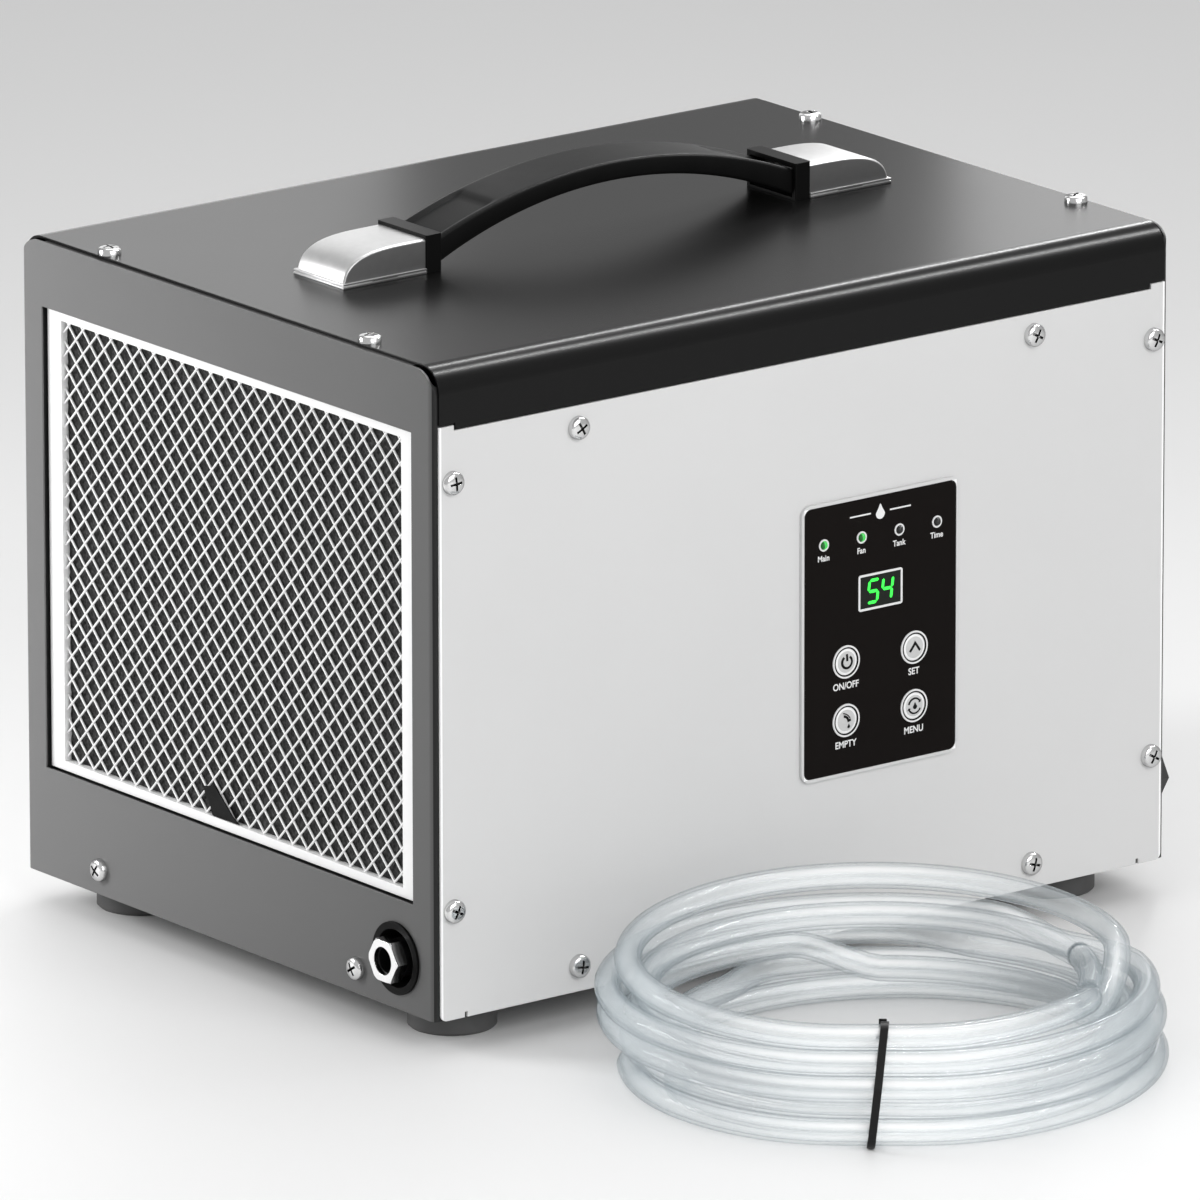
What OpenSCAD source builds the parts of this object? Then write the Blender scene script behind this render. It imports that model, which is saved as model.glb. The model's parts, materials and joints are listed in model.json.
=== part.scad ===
// Portable dehumidifier with a built-in pump, and its coiled drain hose.
// X runs along the control face, the controls look along -Y and the
// intake is at -X. The origin is on the floor, under the middle of the cabinet.

/* [Cabinet] */
// Width of the cabinet along the control face
body_w = 420; // [412:1:440]
// Depth of the cabinet from the control face to the back
body_d = 310; // [306:1:330]
// Height of the cabinet without its feet
body_h = 300; // [296:1:310]
// Thickness of the sheet steel
sheet = 1.2; // [1:0.1:1.4]
// Outside bend radius of the cover and the end panels' top corners
cover_bend = 11.8; // [8:0.2:14]
// How far the cover's front and back flanges hang down
cover_drop = 28.2; // [24:0.2:30]
// Outside bend radius of the end panels' upright edges
edge_bend = 3; // [2.6:0.2:4]

/* [Feet] */
// Diameter of a rubber foot
foot_d = 40.6; // [36:0.2:44]
// Height of a rubber foot
foot_h = 16; // [14:1:18]
// Distance from a cabinet side to the middle of a foot
foot_inset = 37.5; // [34:0.5:42]

/* [Handle] */
// Distance between the outer ends of the two handle caps
handle_w = 314; // [306:1:322]
// Width of the flexible strap
strap_w = 31; // [28:0.5:33]
// Height of the strap's crown over the cover
strap_rise = 34.2; // [32:0.2:36]
// Thickness of the strap at its crown
strap_t = 9; // [8:0.5:10]

/* [Filter] */
// Width of the intake opening
intake_w = 277; // [270:1:280]
// Height of the intake opening
intake_h = 217.5; // [210:0.5:219]
// Height of the opening's lower edge over the cabinet's bottom edge
intake_sill = 51; // [50:0.5:54]
// Pitch of the diamond mesh along Y
mesh_pitch_y = 10.8; // [10:0.2:14]
// Pitch of the diamond mesh along Z
mesh_pitch_z = 11.1; // [10:0.1:14]
// Width of one mesh strand
mesh_strand = 1.5; // [1.2:0.1:2]

/* [Controls] */
// Width of the silver control bezel
bezel_w = 90.5; // [88:0.5:94]
// Height of the silver control bezel
bezel_h = 129.4; // [126:0.2:134]
// Distance from the cabinet's middle to the middle of the bezel
bezel_x = 40.8; // [30:0.1:60]
// Height of the bezel's middle over the cabinet's bottom edge
bezel_rise = 138.2; // [130:0.2:150]
// Outside diameter of a button's silver ring
button_d = 15.4; // [14.8:0.1:16]
// Travel of a button
button_travel = 0.6; // [0.4:0.1:0.6]

/* [Drain] */
// Outside diameter of the drain hose
hose_d = 12; // [11:0.5:12]
// Outside radius of the coiled hose
coil_r = 127; // [120:1:130]
// Height of the coiled hose at the cable tie
coil_h = 51; // [48:1:54]
// How much higher the loose side of the coil stands
coil_rise = 13; // [0:1:14]

/* [Fan and refrigeration] */
// Outside diameter of the fan impeller
fan_d = 186; // [170:1:188]
// Number of fan blades
fan_blades = 5; // [3:1:6]
// Diameter of the compressor shell
compressor_d = 112; // [104:1:114]

/* [Hidden] */

$fn = 64;
eps = 0.01;

half_w = body_w / 2;
half_d = body_d / 2;
floor_z = foot_h;              // bottom edge of the cabinet
roof_z = foot_h + body_h;      // top of the cover
in_x = half_w - sheet;         // inner face of an end panel
in_y = half_d - sheet;         // inner face of a front or rear panel
gap = 0.3;                     // clearance between folded sheets

seam = 2;                      // open seam between cover and end panel
cover_half = in_x - seam;
face_half = half_w - edge_bend - 0.2;
face_top = roof_z - cover_drop - 0.8;
tab_w = 8;
tab_h = 2.4;
rail_drop = 46;
rail_h = 30;

// screws
screw_r = 2.4;
head_r = 5;
head_h = 3.8;
head_dome = 1.6;
clear_r = 2.8;
tap_r = 2.45;
side_screw_x = half_w - 10;
mid_screw_x = 130;
face_spots = concat(
    [for (s = [-1, 1]) for (z = [50.5, 247.5]) [s * side_screw_x, floor_z + z]],
    [for (s = [-1, 1]) for (z = [12, 261]) [s * mid_screw_x, floor_z + z]]);
top_spots = [for (s = [-1, 1]) for (y = [-97.5, 97.5]) [s * (half_w - 8.5), y]];
end_spots = [for (y = [-97, 97]) [y, floor_z + 12]];
foot_spots = [for (s = [-1, 1]) for (t = [-1, 1]) [s * (half_w - foot_inset), t * (half_d - foot_inset)]];

// handle
cap_len = 47;
cap_h = 15.7;
cap_w = 35;
flange_w = 37.4;
flange_h = 2.4;
cap_in = handle_w / 2 - cap_len;
collar_t = 8.7;
collar_w = 36.4;
collar_h = 17.5;
strap_r = 270;                 // top arc of the strap
under_r = 235;                 // underside arc
strap_end = cap_in + 8;
rib_start = 69;
handle_bolt_x = handle_w / 2 - 19;

// intake filter
sill_z = floor_z + intake_sill;
head_z = sill_z + intake_h;
filter_recess = 2.8;
filter_front = -half_w + filter_recess;
frame_gap = 0.6;
frame_side = 11;
frame_rail = 5;
frame_depth = 13;
mesh_t = 2;
window_w = intake_w - 2 * frame_side;
window_h = intake_h - 2 * frame_rail;
window_z = sill_z + intake_h / 2;

// controls
bezel_z = floor_z + bezel_rise;
bezel_r = 5;
bezel_rim = 1.5;
bezel_proud = 1.6;
overlay_w = bezel_w - 2 * bezel_rim;
overlay_h = bezel_h - 2 * bezel_rim;
overlay_front = -half_d - 1.3;
overlay_t = 2;
overlay_back = overlay_front + overlay_t;
button_dx = 19.6;
button_row = [-11.4, -38.8];
button_cap_r = 6.2;
button_hole_r = 6.5;
ring_proud = 0.5;
led_z = 45.2;
led_pitch = 21.7;
led_spots = [for (i = [-1.5, -0.5, 0.5, 1.5]) [bezel_x + i * led_pitch, bezel_z + led_z]];
led_ring_r = 2.8;
led_r = 2;
display_w = 25.3;
display_h = 16.9;
display_rim = 1;
display_z = bezel_z + 19;
board_front = -half_d + 9;
switch_h = 2.3;

// drain line
drain_y = -half_d + 28.7;
drain_z = floor_z + 23.7;
fitting_face = -half_w - 8;
nut_af = 18.8;
nut_depth = 6.4;
cup_r = 14.6;
cup_depth = 13;
ring_r = 16.7;
socket_r = hose_d / 2 + 0.1;
hose_in_r = 4.5;
valve_x = -140;                // check valve
valve_l = 26;

// cable gland
gland_y = -half_d + 19.6;
gland_z = floor_z + 35;
gland_af = 20.8;

// pump
tank_w = 76;
tank_d = 70;
tank_h = 40;
tank_x = -58;
tank_y = -107;
tank_z = floor_z + sheet + 0.4;
lid_z = tank_z + tank_h;
lid_t = 2;
pump_x = -42;
pump_y = -106;
float_x = -72;
float_y = -88;
inlet_x = -88;
inlet_y = -106;

// heat exchangers
coil_rows = 8;
row_pitch = 26;
row_low = 94;
tube_r = 4.75;
fin_half = 118;
fin_low = row_low - 12;
fin_h = (coil_rows - 1) * row_pitch + 24;
evap_x = -166;
cond_x = -124;
fin_t = 36;
plate_y = fin_half + 0.2;
turn_y = fin_half + 3;
port_y = fin_half + 18;        // upright pipes behind the coil ends

// compressor
comp_x = 10;
comp_y = 55;
comp_r = compressor_d / 2;
comp_low = 34;
comp_side = 150;
comp_dome = 20;
acc_x = comp_x - comp_r - 28;
stub_z = comp_low + comp_side + comp_dome + 8;
stud_r = comp_r + 14;

// fan, on an axis along X
fan_z = 176;
fan_r = fan_d / 2;
fan_x = 175;
hub_r = 33;
hub_half = 14;
shaft_r = 4;
orifice_r = fan_r + 4;
shroud_x = 168;
motor_r = 40;
motor_from = 96;
motor_to = 150;
outlet_r = 100;
guard_eye_r = 110;

// coiled hose on the floor in front of the cabinet
coil_x = -63;
coil_y = -288;
coil_in = coil_r - 34;
coil_foot = 6;
coil_slope = atan(coil_rise / (2 * coil_r));
tie_angle = 230.5;
tie_t = 1.3;
tie_w = 3.6;
tie_head = [6, 6.8, 7];

steel_dark = [0.42, 0.43, 0.44];
steel_black = [0.16, 0.16, 0.17];
steel_light = [0.84, 0.84, 0.84];
silver = [0.78, 0.79, 0.8];
rubber = [0.12, 0.12, 0.12];
copper = [0.75, 0.42, 0.25];
aluminium = [0.8, 0.82, 0.84];

// ---- shared shapes ----

module rounded_square(x, y, r) {
    square([x - 2 * r, y], center = true);
    square([x, y - 2 * r], center = true);
    for (i = [-1, 1]) for (j = [-1, 1]) translate([i * (x / 2 - r), j * (y / 2 - r)]) circle(r);
}

module rounded_block(x, y, z, r) {
    linear_extrude(z) rounded_square(x, y, r);
}

// draws the outline's x along Y and its y along Z, and runs it from one X to another
module along_x(from, to) {
    translate([from, 0, 0]) rotate([90, 0, 90]) linear_extrude(to - from) children();
}

// draws the outline's x along X and its y along Z, and runs it from one Y to another
module along_y(from, to) {
    translate([0, to, 0]) rotate([90, 0, 0]) linear_extrude(to - from) children();
}

module rod_x(from, to, y, z, r) {
    translate([from, y, z]) rotate([0, 90, 0]) cylinder(r = r, h = to - from);
}

module rod_y(from, to, x, z, r) {
    translate([x, from, z]) rotate([-90, 0, 0]) cylinder(r = r, h = to - from);
}

// an upright wall with rounded upper corners
module arch(half, low, high, r) {
    translate([-half, low]) square([2 * half, high - r - low]);
    translate([-half + r, low]) square([2 * (half - r), high - low]);
    for (s = [-1, 1]) translate([s * (half - r), high - r]) circle(r);
}

// pipe run through points, with a ball a little wider than the pipe at each corner
module pipe(points, r) {
    for (i = [0 : len(points) - 2]) {
        a = points[i];
        d = points[i + 1] - a;
        l = norm(d);
        translate(a) rotate([0, acos(d[2] / l), atan2(d[1], d[0])]) cylinder(r = r, h = l);
        if (i > 0) translate(a) sphere(r + 0.3);
    }
}

// pan head screw: its head stands on z = 0 and its cross has one upright slot
module pan_screw(shank = 9) {
    dome_r = (head_r * head_r + head_dome * head_dome) / (2 * head_dome);
    color("gainsboro") difference() {
        union() {
            intersection() {
                cylinder(r = head_r, h = head_h);
                translate([0, 0, head_h - dome_r]) sphere(dome_r, $fn = 96);
            }
            translate([0, 0, -shank]) cylinder(r = screw_r, h = shank + 1);
        }
        for (a = [0, 90]) rotate(a) translate([-3, -0.6, head_h - 1.7]) cube([6, 1.2, 3]);
    }
}

module screw_front(x, z) { translate([x, -half_d, z]) rotate([90, 0, 0]) pan_screw(); }
module screw_rear(x, z) { translate([x, half_d, z]) rotate([-90, 0, 0]) pan_screw(); }
module screw_left(y, z) { translate([-half_w, y, z]) rotate([0, -90, 0]) pan_screw(); }
module screw_right(y, z) { translate([half_w, y, z]) rotate([0, 90, 0]) pan_screw(); }

// ---- cabinet ----

module base_tray() {
    wall = 18;
    x = 2 * (in_x - gap);
    y = 2 * (in_y - sheet - gap);
    color(steel_black) difference() {
        translate([0, 0, floor_z]) rounded_block(x, y, wall, 3);
        translate([0, 0, floor_z + sheet]) rounded_block(x - 2 * sheet, y - 2 * sheet, wall, 1.8);
        for (p = foot_spots) translate([p[0], p[1], floor_z - 1]) cylinder(r = tap_r, h = 4);
        rod_x(-half_w, -half_w + 10, drain_y, drain_z, cup_r + 1);
        for (a = [90, 210, 330])
            translate([comp_x + stud_r * cos(a), comp_y + stud_r * sin(a), floor_z - 1]) cylinder(r = 3.2, h = 4);
        for (s = [-1, 1]) rod_y(-half_d, half_d, s * mid_screw_x, floor_z + 12, tap_r);
        for (y1 = [-97, 97]) rod_x(-half_w, half_w, y1, floor_z + 12, tap_r);
    }
}

// the left end shell: a plate with folded front, rear and top flanges
module end_shell() {
    reach = 20;
    difference() {
        intersection() {
            union() {
                translate([0, 0, floor_z]) linear_extrude(body_h) difference() {
                    translate([-half_w + 50, 0]) rounded_square(100, 2 * in_y, edge_bend);
                    translate([-half_w + 50 + sheet, 0])
                        rounded_square(100, 2 * (in_y - sheet), edge_bend - sheet);
                    translate([-half_w + reach, -half_d]) square([120, body_d]);
                }
                translate([-in_x - eps, -in_y + 16, roof_z - 2 * sheet]) cube([reach - sheet, 2 * in_y - 32, sheet]);
            }
            along_x(-half_w - 1, -half_w + reach + 1) arch(in_y, floor_z, roof_z - sheet, cover_bend);
        }
        for (p = face_spots) if (abs(p[0]) == side_screw_x) rod_y(-half_d, half_d, -side_screw_x, p[1], tap_r);
        for (p = end_spots) rod_x(-half_w - 1, -in_x + 1, p[0], p[1], clear_r);
        for (p = top_spots) translate([-abs(p[0]), p[1], roof_z - 5]) cylinder(r = tap_r, h = 6);
    }
}

module intake_panel() {
    color(steel_dark) difference() {
        end_shell();
        translate([-half_w - 1, -intake_w / 2, sill_z]) cube([3, intake_w, intake_h]);
        rod_x(-half_w - 1, -in_x + 1, drain_y, drain_z, cup_r + 0.2);
    }
}

module outlet_panel() {
    color(steel_dark) difference() {
        mirror([1, 0, 0]) end_shell();
        rod_x(in_x - 1, half_w + 1, 0, fan_z, outlet_r);
        rod_x(in_x - 1, half_w + 1, gland_y, gland_z, 8.2);
        for (a = [45, 135, 225, 315])
            rod_x(in_x - 1, half_w + 1, guard_eye_r * cos(a), fan_z + guard_eye_r * sin(a), tap_r);
    }
}

// flat sheet with rounded lower corners, a tab at each upper corner and two relief cuts
module face_sheet() {
    r = 3;
    difference() {
        union() {
            translate([-face_half, floor_z + r]) square([2 * face_half, face_top - floor_z - r]);
            translate([-face_half + r, floor_z]) square([2 * (face_half - r), r + 1]);
            for (s = [-1, 1]) {
                translate([s * (face_half - r), floor_z + r]) circle(r);
                translate([s * (face_half - tab_w / 2), face_top]) square([tab_w, 2 * tab_h], center = true);
            }
        }
        for (s = [-1, 1]) translate([s * 193, floor_z]) square([1.6, 5], center = true);
        for (p = face_spots) translate(p) circle(clear_r);
    }
}

module front_panel() {
    color(steel_light) along_y(-half_d, -in_y) difference() {
        face_sheet();
        translate([bezel_x, bezel_z]) rounded_square(overlay_w - 2, overlay_h - 2, 3);
    }
}

module rear_panel() {
    color(steel_light) along_y(in_y, half_d) face_sheet();
}

module top_cover() {
    color(steel_black) difference() {
        along_x(-cover_half, cover_half) difference() {
            arch(half_d, roof_z - cover_drop, roof_z, cover_bend);
            arch(in_y, roof_z - cover_drop - 1, roof_z - sheet, cover_bend - sheet);
        }
        for (s = [-1, 1]) translate([s * cover_half - tab_w - 0.8, -half_d - 1, roof_z - cover_drop - 1])
            cube([2 * (tab_w + 0.8), body_d + 2, tab_h + 1.2]);
        for (p = top_spots) translate([p[0], p[1], roof_z - 3]) cylinder(r = clear_r, h = 4);
        for (s = [-1, 1]) translate([s * handle_bolt_x, 0, roof_z - 3]) cylinder(r = clear_r, h = 4);
    }
}

// angles behind the tops of the front and rear panels
module cross_rails() {
    low = roof_z - rail_drop;
    reach = half_w - 22;
    leg = 10;
    color(steel_black) difference() {
        for (s = [-1, 1]) {
            translate([-reach, s > 0 ? in_y - 2 * sheet : -in_y + sheet, low]) cube([2 * reach, sheet, rail_h]);
            translate([-reach, s > 0 ? in_y - leg : -in_y + sheet, low]) cube([2 * reach, leg - sheet, sheet]);
        }
        for (s = [-1, 1]) rod_y(-half_d, half_d, s * mid_screw_x, floor_z + 261, tap_r);
    }
}

module rubber_feet() {
    r = foot_d / 2;
    lower = foot_h * 0.55;
    color(rubber) for (p = foot_spots) translate([p[0], p[1], 0]) difference() {
        rotate_extrude($fn = 96) polygon([
            [0, 0], [r - 1, 0], [r, 1], [r, lower], [r - 0.8, lower + 0.8], [r - 0.8, foot_h], [0, foot_h]]);
        translate([0, 0, -1]) cylinder(r = 6.5, h = 8);
        translate([0, 0, -1]) cylinder(r = clear_r, h = foot_h + 2);
    }
}

module cabinet_screws() {
    for (p = face_spots) {
        screw_front(p[0], p[1]);
        screw_rear(p[0], p[1]);
    }
    for (p = top_spots) translate([p[0], p[1], roof_z]) pan_screw();
    for (p = end_spots) {
        screw_left(p[0], p[1]);
        screw_right(p[0], p[1]);
    }
}

// screws that hold the feet from below, the handle caps from inside and the outlet guard
module machine_screws() {
    for (p = foot_spots) translate([p[0], p[1], 7]) rotate([180, 0, 0]) pan_screw(10);
    for (s = [-1, 1]) translate([s * handle_bolt_x, 0, roof_z - sheet]) rotate([180, 0, 0]) pan_screw(8);
    for (a = [45, 135, 225, 315]) translate([2.2, 0, 0])
        screw_right(guard_eye_r * cos(a), fan_z + guard_eye_r * sin(a));
}

// ---- handle ----

module strap_arc(top_r, crown, half) {
    intersection() {
        translate([0, roof_z + crown - top_r]) circle(top_r, $fn = 256);
        translate([-half, roof_z + 1.2]) square([2 * half, 60]);
    }
}

module handle_strap() {
    rib_w = 3;
    color(rubber) difference() {
        union() {
            along_y(-strap_w / 2, strap_w / 2) strap_arc(strap_r, strap_rise - 1.2, strap_end);
            along_y(-strap_w / 2, strap_w / 2) strap_arc(strap_r, strap_rise, rib_start - 3);
            for (s = [-1, 1]) translate([0, s * (strap_w - rib_w) / 2, 0]) along_y(-rib_w / 2, rib_w / 2)
                difference() {
                    strap_arc(strap_r, strap_rise + 0.6, cap_in - collar_t + 1);
                    square([2 * rib_start, 1000], center = true);
                }
        }
        along_y(-strap_w, strap_w) translate([0, roof_z + strap_rise - strap_t - under_r]) circle(under_r, $fn = 256);
    }
}

module handle_collars() {
    color(steel_black) difference() {
        for (s = [-1, 1]) translate([s * (cap_in - collar_t / 2), 0, roof_z])
            rounded_block(collar_t, collar_w, collar_h, 0.8);
        along_y(-strap_w / 2 - 0.1, strap_w / 2 + 0.1) strap_arc(strap_r + 0.7, strap_rise + 0.7, strap_end);
    }
}

// the cap's outline: level at its inner end, falling to the flange at its outer end
module handle_cap() {
    steps = 20;
    difference() {
        union() {
            translate([cap_in + cap_len / 2, 0, roof_z]) rounded_block(cap_len, flange_w, 1, 0.8);
            translate([cap_in + cap_len / 2 - 0.2, 0, roof_z]) rounded_block(cap_len - 0.4, flange_w - 1, flange_h - 0.2, 0.8);
            translate([cap_in + cap_len / 2, 0, roof_z + 1.4]) rounded_block(cap_len, flange_w, 1, 0.8);
            along_y(-cap_w / 2, cap_w / 2) translate([cap_in, roof_z]) polygon(concat([[0, 0]],
                [for (i = [0 : steps]) let (u = sin(90 * i / steps))
                    [u * (cap_len - 1), cap_h * pow(1 - pow(u, 4), 1 / 2.4)]]));
        }
        translate([cap_in - 1, -strap_w / 2 - 0.2, roof_z - 1]) cube([strap_end - cap_in + 1.3, strap_w + 0.4, 13.5]);
        translate([handle_bolt_x, 0, roof_z - 1]) cylinder(r = tap_r, h = 8.5);
    }
}

module handle_cap_left() { color(silver) mirror([1, 0, 0]) handle_cap(); }
module handle_cap_right() { color(silver) handle_cap(); }

// ---- intake filter ----

module filter_channel() {
    w = intake_w + 3;
    h = intake_h + 3;
    color(rubber) difference() {
        translate([-in_x, -w / 2 - sheet, window_z - h / 2 - sheet]) cube([20, w + 2 * sheet, h + 2 * sheet]);
        translate([-in_x - 1, -w / 2, window_z - h / 2]) cube([20 - sheet + 1, w, h]);
        translate([-in_x - 1, -window_w / 2 + 4, window_z - window_h / 2 + 2]) cube([30, window_w - 8, window_h - 4]);
    }
}

module filter_frame() {
    color("white") difference() {
        translate([filter_front, -intake_w / 2 + frame_gap, sill_z + frame_gap])
            cube([frame_depth, intake_w - 2 * frame_gap, intake_h - 2 * frame_gap]);
        translate([filter_front - 1, -window_w / 2, window_z - window_h / 2])
            cube([frame_depth + 2, window_w, window_h]);
    }
}

// diamond mesh moulded across the frame's window
module filter_mesh() {
    cols = floor(window_w / mesh_pitch_y);
    rows = floor(window_h / mesh_pitch_z);
    hole_y = mesh_pitch_y / 2 - mesh_strand * 0.7;
    hole_z = mesh_pitch_z / 2 - mesh_strand * 0.7;
    color("white") along_x(filter_front + 1, filter_front + 1 + mesh_t) difference() {
        translate([0, window_z]) square([window_w, window_h], center = true);
        for (stagger = [0, 1]) for (i = [0 : cols - 1 - stagger]) for (j = [0 : rows - 1 - stagger])
            translate([(i - (cols - 1 - stagger) / 2) * mesh_pitch_y,
                       window_z + (j - (rows - 1 - stagger) / 2) * mesh_pitch_z])
                polygon([[-hole_y, 0], [0, -hole_z], [hole_y, 0], [0, hole_z]]);
    }
}

module filter_foam() {
    from = filter_front + 1 + mesh_t;
    color([0.22, 0.22, 0.23]) translate([from, -window_w / 2 + 0.2, window_z - window_h / 2 + 0.2])
        cube([frame_depth - mesh_t - 1.5, window_w - 0.4, window_h - 0.4]);
}

// ribbon that lies against the mesh and is pulled to draw the filter out
module filter_pull_tab() {
    color("black") along_x(filter_front - 0.6, filter_front + 1) translate([0, sill_z + frame_rail])
        polygon([[-7, 0], [19, 0], [22, 13], [14, 16], [5, 8]]);
}

// ---- controls ----

module control_bezel() {
    color(silver) {
        along_y(-half_d - bezel_proud, -half_d) translate([bezel_x, bezel_z]) difference() {
            rounded_square(bezel_w, bezel_h, bezel_r);
            rounded_square(overlay_w, overlay_h, bezel_r - bezel_rim);
        }
    }
}

module control_overlay() {
    color([0.08, 0.08, 0.08]) difference() {
        union() {
            along_y(overlay_front, -half_d) translate([bezel_x, bezel_z])
                rounded_square(overlay_w - 0.1, overlay_h - 0.1, bezel_r - bezel_rim);
            along_y(-half_d - eps, overlay_back) translate([bezel_x, bezel_z])
                rounded_square(overlay_w - 2.4, overlay_h - 2.4, 2.6);
        }
        for (i = [-1, 1]) for (z = button_row)
            rod_y(overlay_front - 1, overlay_back + 1, bezel_x + i * button_dx, bezel_z + z, button_hole_r);
        for (p = led_spots) rod_y(overlay_front - 1, overlay_back + 1, p[0], p[1], led_r + 0.05);
        translate([bezel_x - display_w / 2 + display_rim, overlay_front - 1, display_z - display_h / 2 + display_rim])
            cube([display_w - 2 * display_rim, overlay_t + 2, display_h - 2 * display_rim]);
    }
}

// silver rings round the buttons and lamps, and the display's frame
module silver_rings() {
    color(silver) {
        for (i = [-1, 1]) for (z = button_row) difference() {
            rod_y(overlay_front - ring_proud, overlay_front, bezel_x + i * button_dx, bezel_z + z, button_d / 2);
            rod_y(overlay_front - 2, overlay_front + 1, bezel_x + i * button_dx, bezel_z + z, button_d / 2 - 0.95);
        }
        for (p = led_spots) difference() {
            rod_y(overlay_front - 0.4, overlay_front, p[0], p[1], led_ring_r);
            rod_y(overlay_front - 2, overlay_front + 1, p[0], p[1], led_r + 0.05);
        }
        along_y(overlay_front - 0.4, overlay_front) translate([bezel_x, display_z]) difference() {
            rounded_square(display_w, display_h, 1.2);
            square([display_w - 2 * display_rim, display_h - 2 * display_rim], center = true);
        }
    }
}

module display_window() {
    color([0.12, 0.13, 0.12]) along_y(overlay_front - 0.1, overlay_front + 1.2) translate([bezel_x, display_z])
        square([display_w - 2 * display_rim - 0.1, display_h - 2 * display_rim - 0.1], center = true);
}

module led_lenses() {
    color("lime") for (p = led_spots) {
        translate([p[0], overlay_front, p[1]]) sphere(led_r - 0.1);
        rod_y(overlay_front, board_front - 0.1, p[0], p[1], led_r - 0.1);
    }
}

// push button: crowned cap, retaining flange behind the overlay, and a stem
module button(side, row) {
    crown = 0.9;
    dome_r = (button_cap_r * button_cap_r + crown * crown) / (2 * crown);
    front = overlay_front - 1;
    color(silver) translate([bezel_x + side * button_dx, 0, bezel_z + button_row[row]]) {
        intersection() {
            rod_y(front, overlay_back + 0.8, 0, 0, button_cap_r);
            translate([0, front + dome_r, 0]) sphere(dome_r, $fn = 96);
        }
        rod_y(overlay_back + 0.1, overlay_back + 0.9, 0, 0, button_cap_r + 0.8);
        rod_y(overlay_back + 0.5, board_front - switch_h - button_travel - 0.1, 0, 0, 2);
    }
}

module control_board() {
    color("darkgreen") difference() {
        translate([bezel_x - overlay_w / 2 + 4, board_front, bezel_z - overlay_h / 2 + 4])
            cube([overlay_w - 8, 1.6, overlay_h - 8]);
        for (i = [-1, 1]) for (j = [-1, 1])
            rod_y(board_front - 1, board_front + 3, bezel_x + i * 35, bezel_z + j * 54, 1.6);
    }
    for (i = [-1, 1]) for (z = button_row)
        color("dimgray") translate([bezel_x + i * button_dx - 3, board_front - switch_h, bezel_z + z - 3])
            cube([6, switch_h, 6]);
    color("dimgray") translate([bezel_x - 11, overlay_front + 1.4, display_z - 6.5])
        cube([22, board_front - overlay_front - 1.4, 13]);
    for (i = [0 : 2])
        color("gray") translate([bezel_x - 24 + i * 18, board_front + 1.6, bezel_z - 40]) cube([14, 12, 20]);
}

// box behind the front panel that keeps the boards dry
module control_box() {
    depth = 44;
    w = overlay_w + 12;
    h = overlay_h + 14;
    color([0.2, 0.2, 0.2]) difference() {
        along_y(-in_y, -in_y + depth) translate([bezel_x, bezel_z]) rounded_square(w, h, 4);
        along_y(-in_y - 1, -in_y + depth - 2) translate([bezel_x, bezel_z]) rounded_square(w - 4, h - 4, 2);
        rod_y(-in_y + depth - 3, -in_y + depth + 1, bezel_x + 30, bezel_z - 55, 5);
    }
    color([0.2, 0.2, 0.2]) for (i = [-1, 1]) for (j = [-1, 1])
        rod_y(board_front + 1.6, -in_y + depth - 1, bezel_x + i * 35, bezel_z + j * 54, 3.5);
}

// ---- drain line and pump ----

module drain_grommet() {
    lip = 1.2;
    color(rubber) difference() {
        union() {
            rod_x(-half_w - lip, -half_w, drain_y, drain_z, ring_r);
            rod_x(-half_w - eps, -half_w + cup_depth, drain_y, drain_z, cup_r);
        }
        rod_x(-half_w - lip - 1, -half_w + cup_depth - 1.5, drain_y, drain_z, cup_r - 1.2);
        rod_x(-half_w, -half_w + cup_depth + 1, drain_y, drain_z, 9);
    }
}

module fitting_body() {
    back = -half_w + 24;
    color(rubber) difference() {
        union() {
            rod_x(fitting_face + 2.6, back, drain_y, drain_z, 8.8);
            rod_x(-half_w + cup_depth + 0.1, -half_w + cup_depth + 3, drain_y, drain_z, 13);
            rod_x(back - eps, back + 12, drain_y, drain_z, hose_in_r - 0.1);
        }
        rod_x(fitting_face, -half_w + 10, drain_y, drain_z, socket_r);
        rod_x(-half_w, back + 13, drain_y, drain_z, 3.2);
    }
}

module fitting_nut() {
    color(silver) difference() {
        translate([fitting_face, drain_y, drain_z]) rotate([0, 90, 0])
            cylinder(d = nut_af / cos(30), h = nut_depth, $fn = 6);
        rod_x(fitting_face - 1, fitting_face + nut_depth, drain_y, drain_z, socket_r + 0.25);
        rod_x(fitting_face + 2.5, fitting_face + nut_depth + 1, drain_y, drain_z, 8.9);
    }
}

module hose_run(from, to) {
    difference() {
        rod_x(from, to, drain_y, drain_z, hose_d / 2);
        rod_x(from - 1, to + 1, drain_y, drain_z, hose_in_r);
    }
}

// two short hoses: outlet fitting to check valve, and check valve to pump
module drain_tube() {
    color([0.8, 0.85, 0.88]) {
        hose_run(-half_w + 25, valve_x - valve_l / 2);
        hose_run(valve_x + valve_l / 2, tank_x - tank_w / 2 - 1);
    }
}

module check_valve() {
    color("white") difference() {
        union() {
            rod_x(valve_x - valve_l / 2, valve_x + valve_l / 2, drain_y, drain_z, 9);
            rod_x(valve_x - 3, valve_x + 3, drain_y, drain_z, 11);
            rod_x(valve_x - valve_l / 2 - 9, valve_x + valve_l / 2 + 9, drain_y, drain_z, hose_in_r - 0.1);
        }
        rod_x(valve_x - 30, valve_x + 30, drain_y, drain_z, 3.2);
    }
}

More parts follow.
